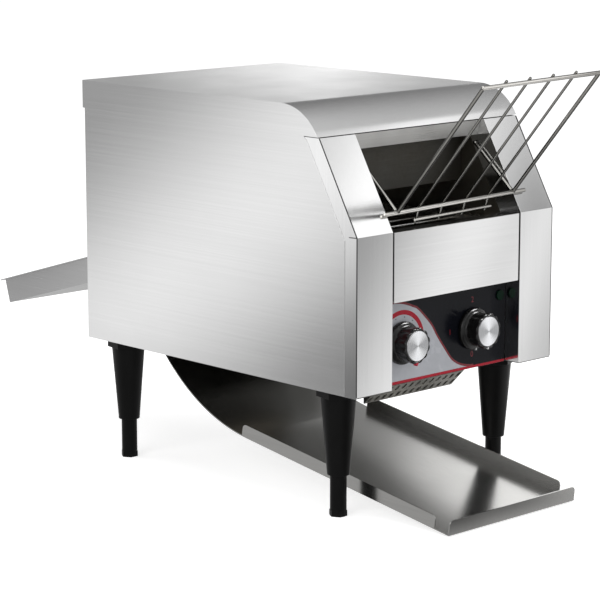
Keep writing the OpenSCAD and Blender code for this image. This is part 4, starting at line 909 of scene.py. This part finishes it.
# Each bend is taken in short steps, so that the wire turns round it.
long_wires = {}
for number, x in enumerate(wire_across):
    bend = [rack_point(x, up, wire_off) for up in (rack_length + wire_past, 2.5, 1.2)]
    bend += [tail_point(x, down) for down in (0.8, 2.0, tail_length)]
    long_wires[f"rack_inner_wire_{number + 1}"] = (bend, wire_r)
for name, side in (("left", -1), ("right", 1)):
    pivot = at(side * leg_across + rack_over, pivot_y, pivot_z)
    leg = [rack_point(side * leg_across, up) for up in (rack_length, 3.0, 1.0, 0.2)]
    toward = (pivot - leg[-1]).normalized()
    leg += [leg[-1] + toward * 0.001, leg[-1] + toward * 0.003, pivot]
    long_wires[f"rack_{name}_leg"] = (leg, leg_r)
    pin_start = at(side * (leg_across - bar_r) + rack_over, pivot_y, pivot_z)
    pin = [pin_start, at(side * pin_end, pivot_y, pivot_z)]
    long_wires[f"rack_{name}_pivot"] = (pin, bar_r)
wire_weld, tail_weld, leg_weld, weld_long = 1.5, 1.1, bar_r - 0.12, 1.25
crossings = [(rack_point(x, up, wire_off / 2), wire_weld) for x in wire_across for up in (0, rack_length)]
crossings += [(tail_point(x, short_down, wire_r), tail_weld) for x in wire_across]
crossings += [(rack_point(side * leg_across, up), leg_weld) for side in (-1, 1) for up in (0, rack_length)]
for index, (centre, size) in enumerate(crossings):
    blob = bmesh.new()
    bmesh.ops.create_icosphere(blob, subdivisions=3, radius=size / 1000)
    for vertex in blob.verts:
        ripple = 1 + 0.05 * sin(vertex.co.x * 4000 + index) * cos(vertex.co.z * 3500)
        vertex.co = Vector((vertex.co.x * weld_long, vertex.co.y, vertex.co.z)) * ripple + centre
    mount(mesh_of(f"rack_weld_{index + 1}", blob), rack_wire_shaded, "rack_body")
for wires, drawn in ((bars, rack_bar_lit), (long_wires, rack_wire_shaded)):
    for name, (path, radius) in wires.items():
        wire = mount(sweep(name, path, radius), drawn, "rack_body")
        if name == "rack_crossbar":
            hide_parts("feed_rack")

# ------------------------------------------------------------------------------
# Discharge slide: one brushed stainless sheet, rolled into a curve under the chamber and run out as
# a flat tray with turned-up side flanges and a folded lip. It draws out to the front.
# ------------------------------------------------------------------------------
# The slide's steel is painted darker than the body's: painted shade on the tray under the chamber.
slide_steel_shaded = brushed("slide_steel_painted_shade", (0, 1, 0), (0.54, 0.535, 0.52), 0.20, 0.06, 0.05,
                        anisotropy=0.35)
dress(["discharge_slide"], slide_steel_shaded, 0.4)

# ------------------------------------------------------------------------------
# Rear chute: a brushed stainless channel, hooked over the sill in the rear panel, that catches what
# leaves at the back.
# ------------------------------------------------------------------------------
chute_brushed = brushed("chute_brushed_steel", (0, 1, 0), (0.56, 0.56, 0.56), 0.25, 0.08, 0.05)
dress(["rear_chute"], chute_brushed, 0.3)

# ------------------------------------------------------------------------------
# Legs and feet: tapered black nylon legs with a hexagonal collar, bolted under the base plate. Each
# holds a threaded foot with a six-sided pad that screws in and out to level the toaster.
# ------------------------------------------------------------------------------
leg_plastic = moulded("leg_nylon", (0.002, 0.002, 0.002), 0.36, 5000, 1.2e-5, specular=0.14)
for corner in ("front_left", "front_right", "rear_left", "rear_right"):
    dress([corner + "_leg", corner + "_foot"], leg_plastic, 0.7)

# ------------------------------------------------------------------------------
# Fasteners: pan-head screws that hold the rear panel, and hexagon nuts that hold the legs' studs
# from inside the base plate. They are turned from bar and plated.
# ------------------------------------------------------------------------------
screw_plate = turned_steel("screw_plate", (0.64, 0.64, 0.62), 0.28)
dress(["panel_screws", "leg_nuts"], screw_plate, 0.2)
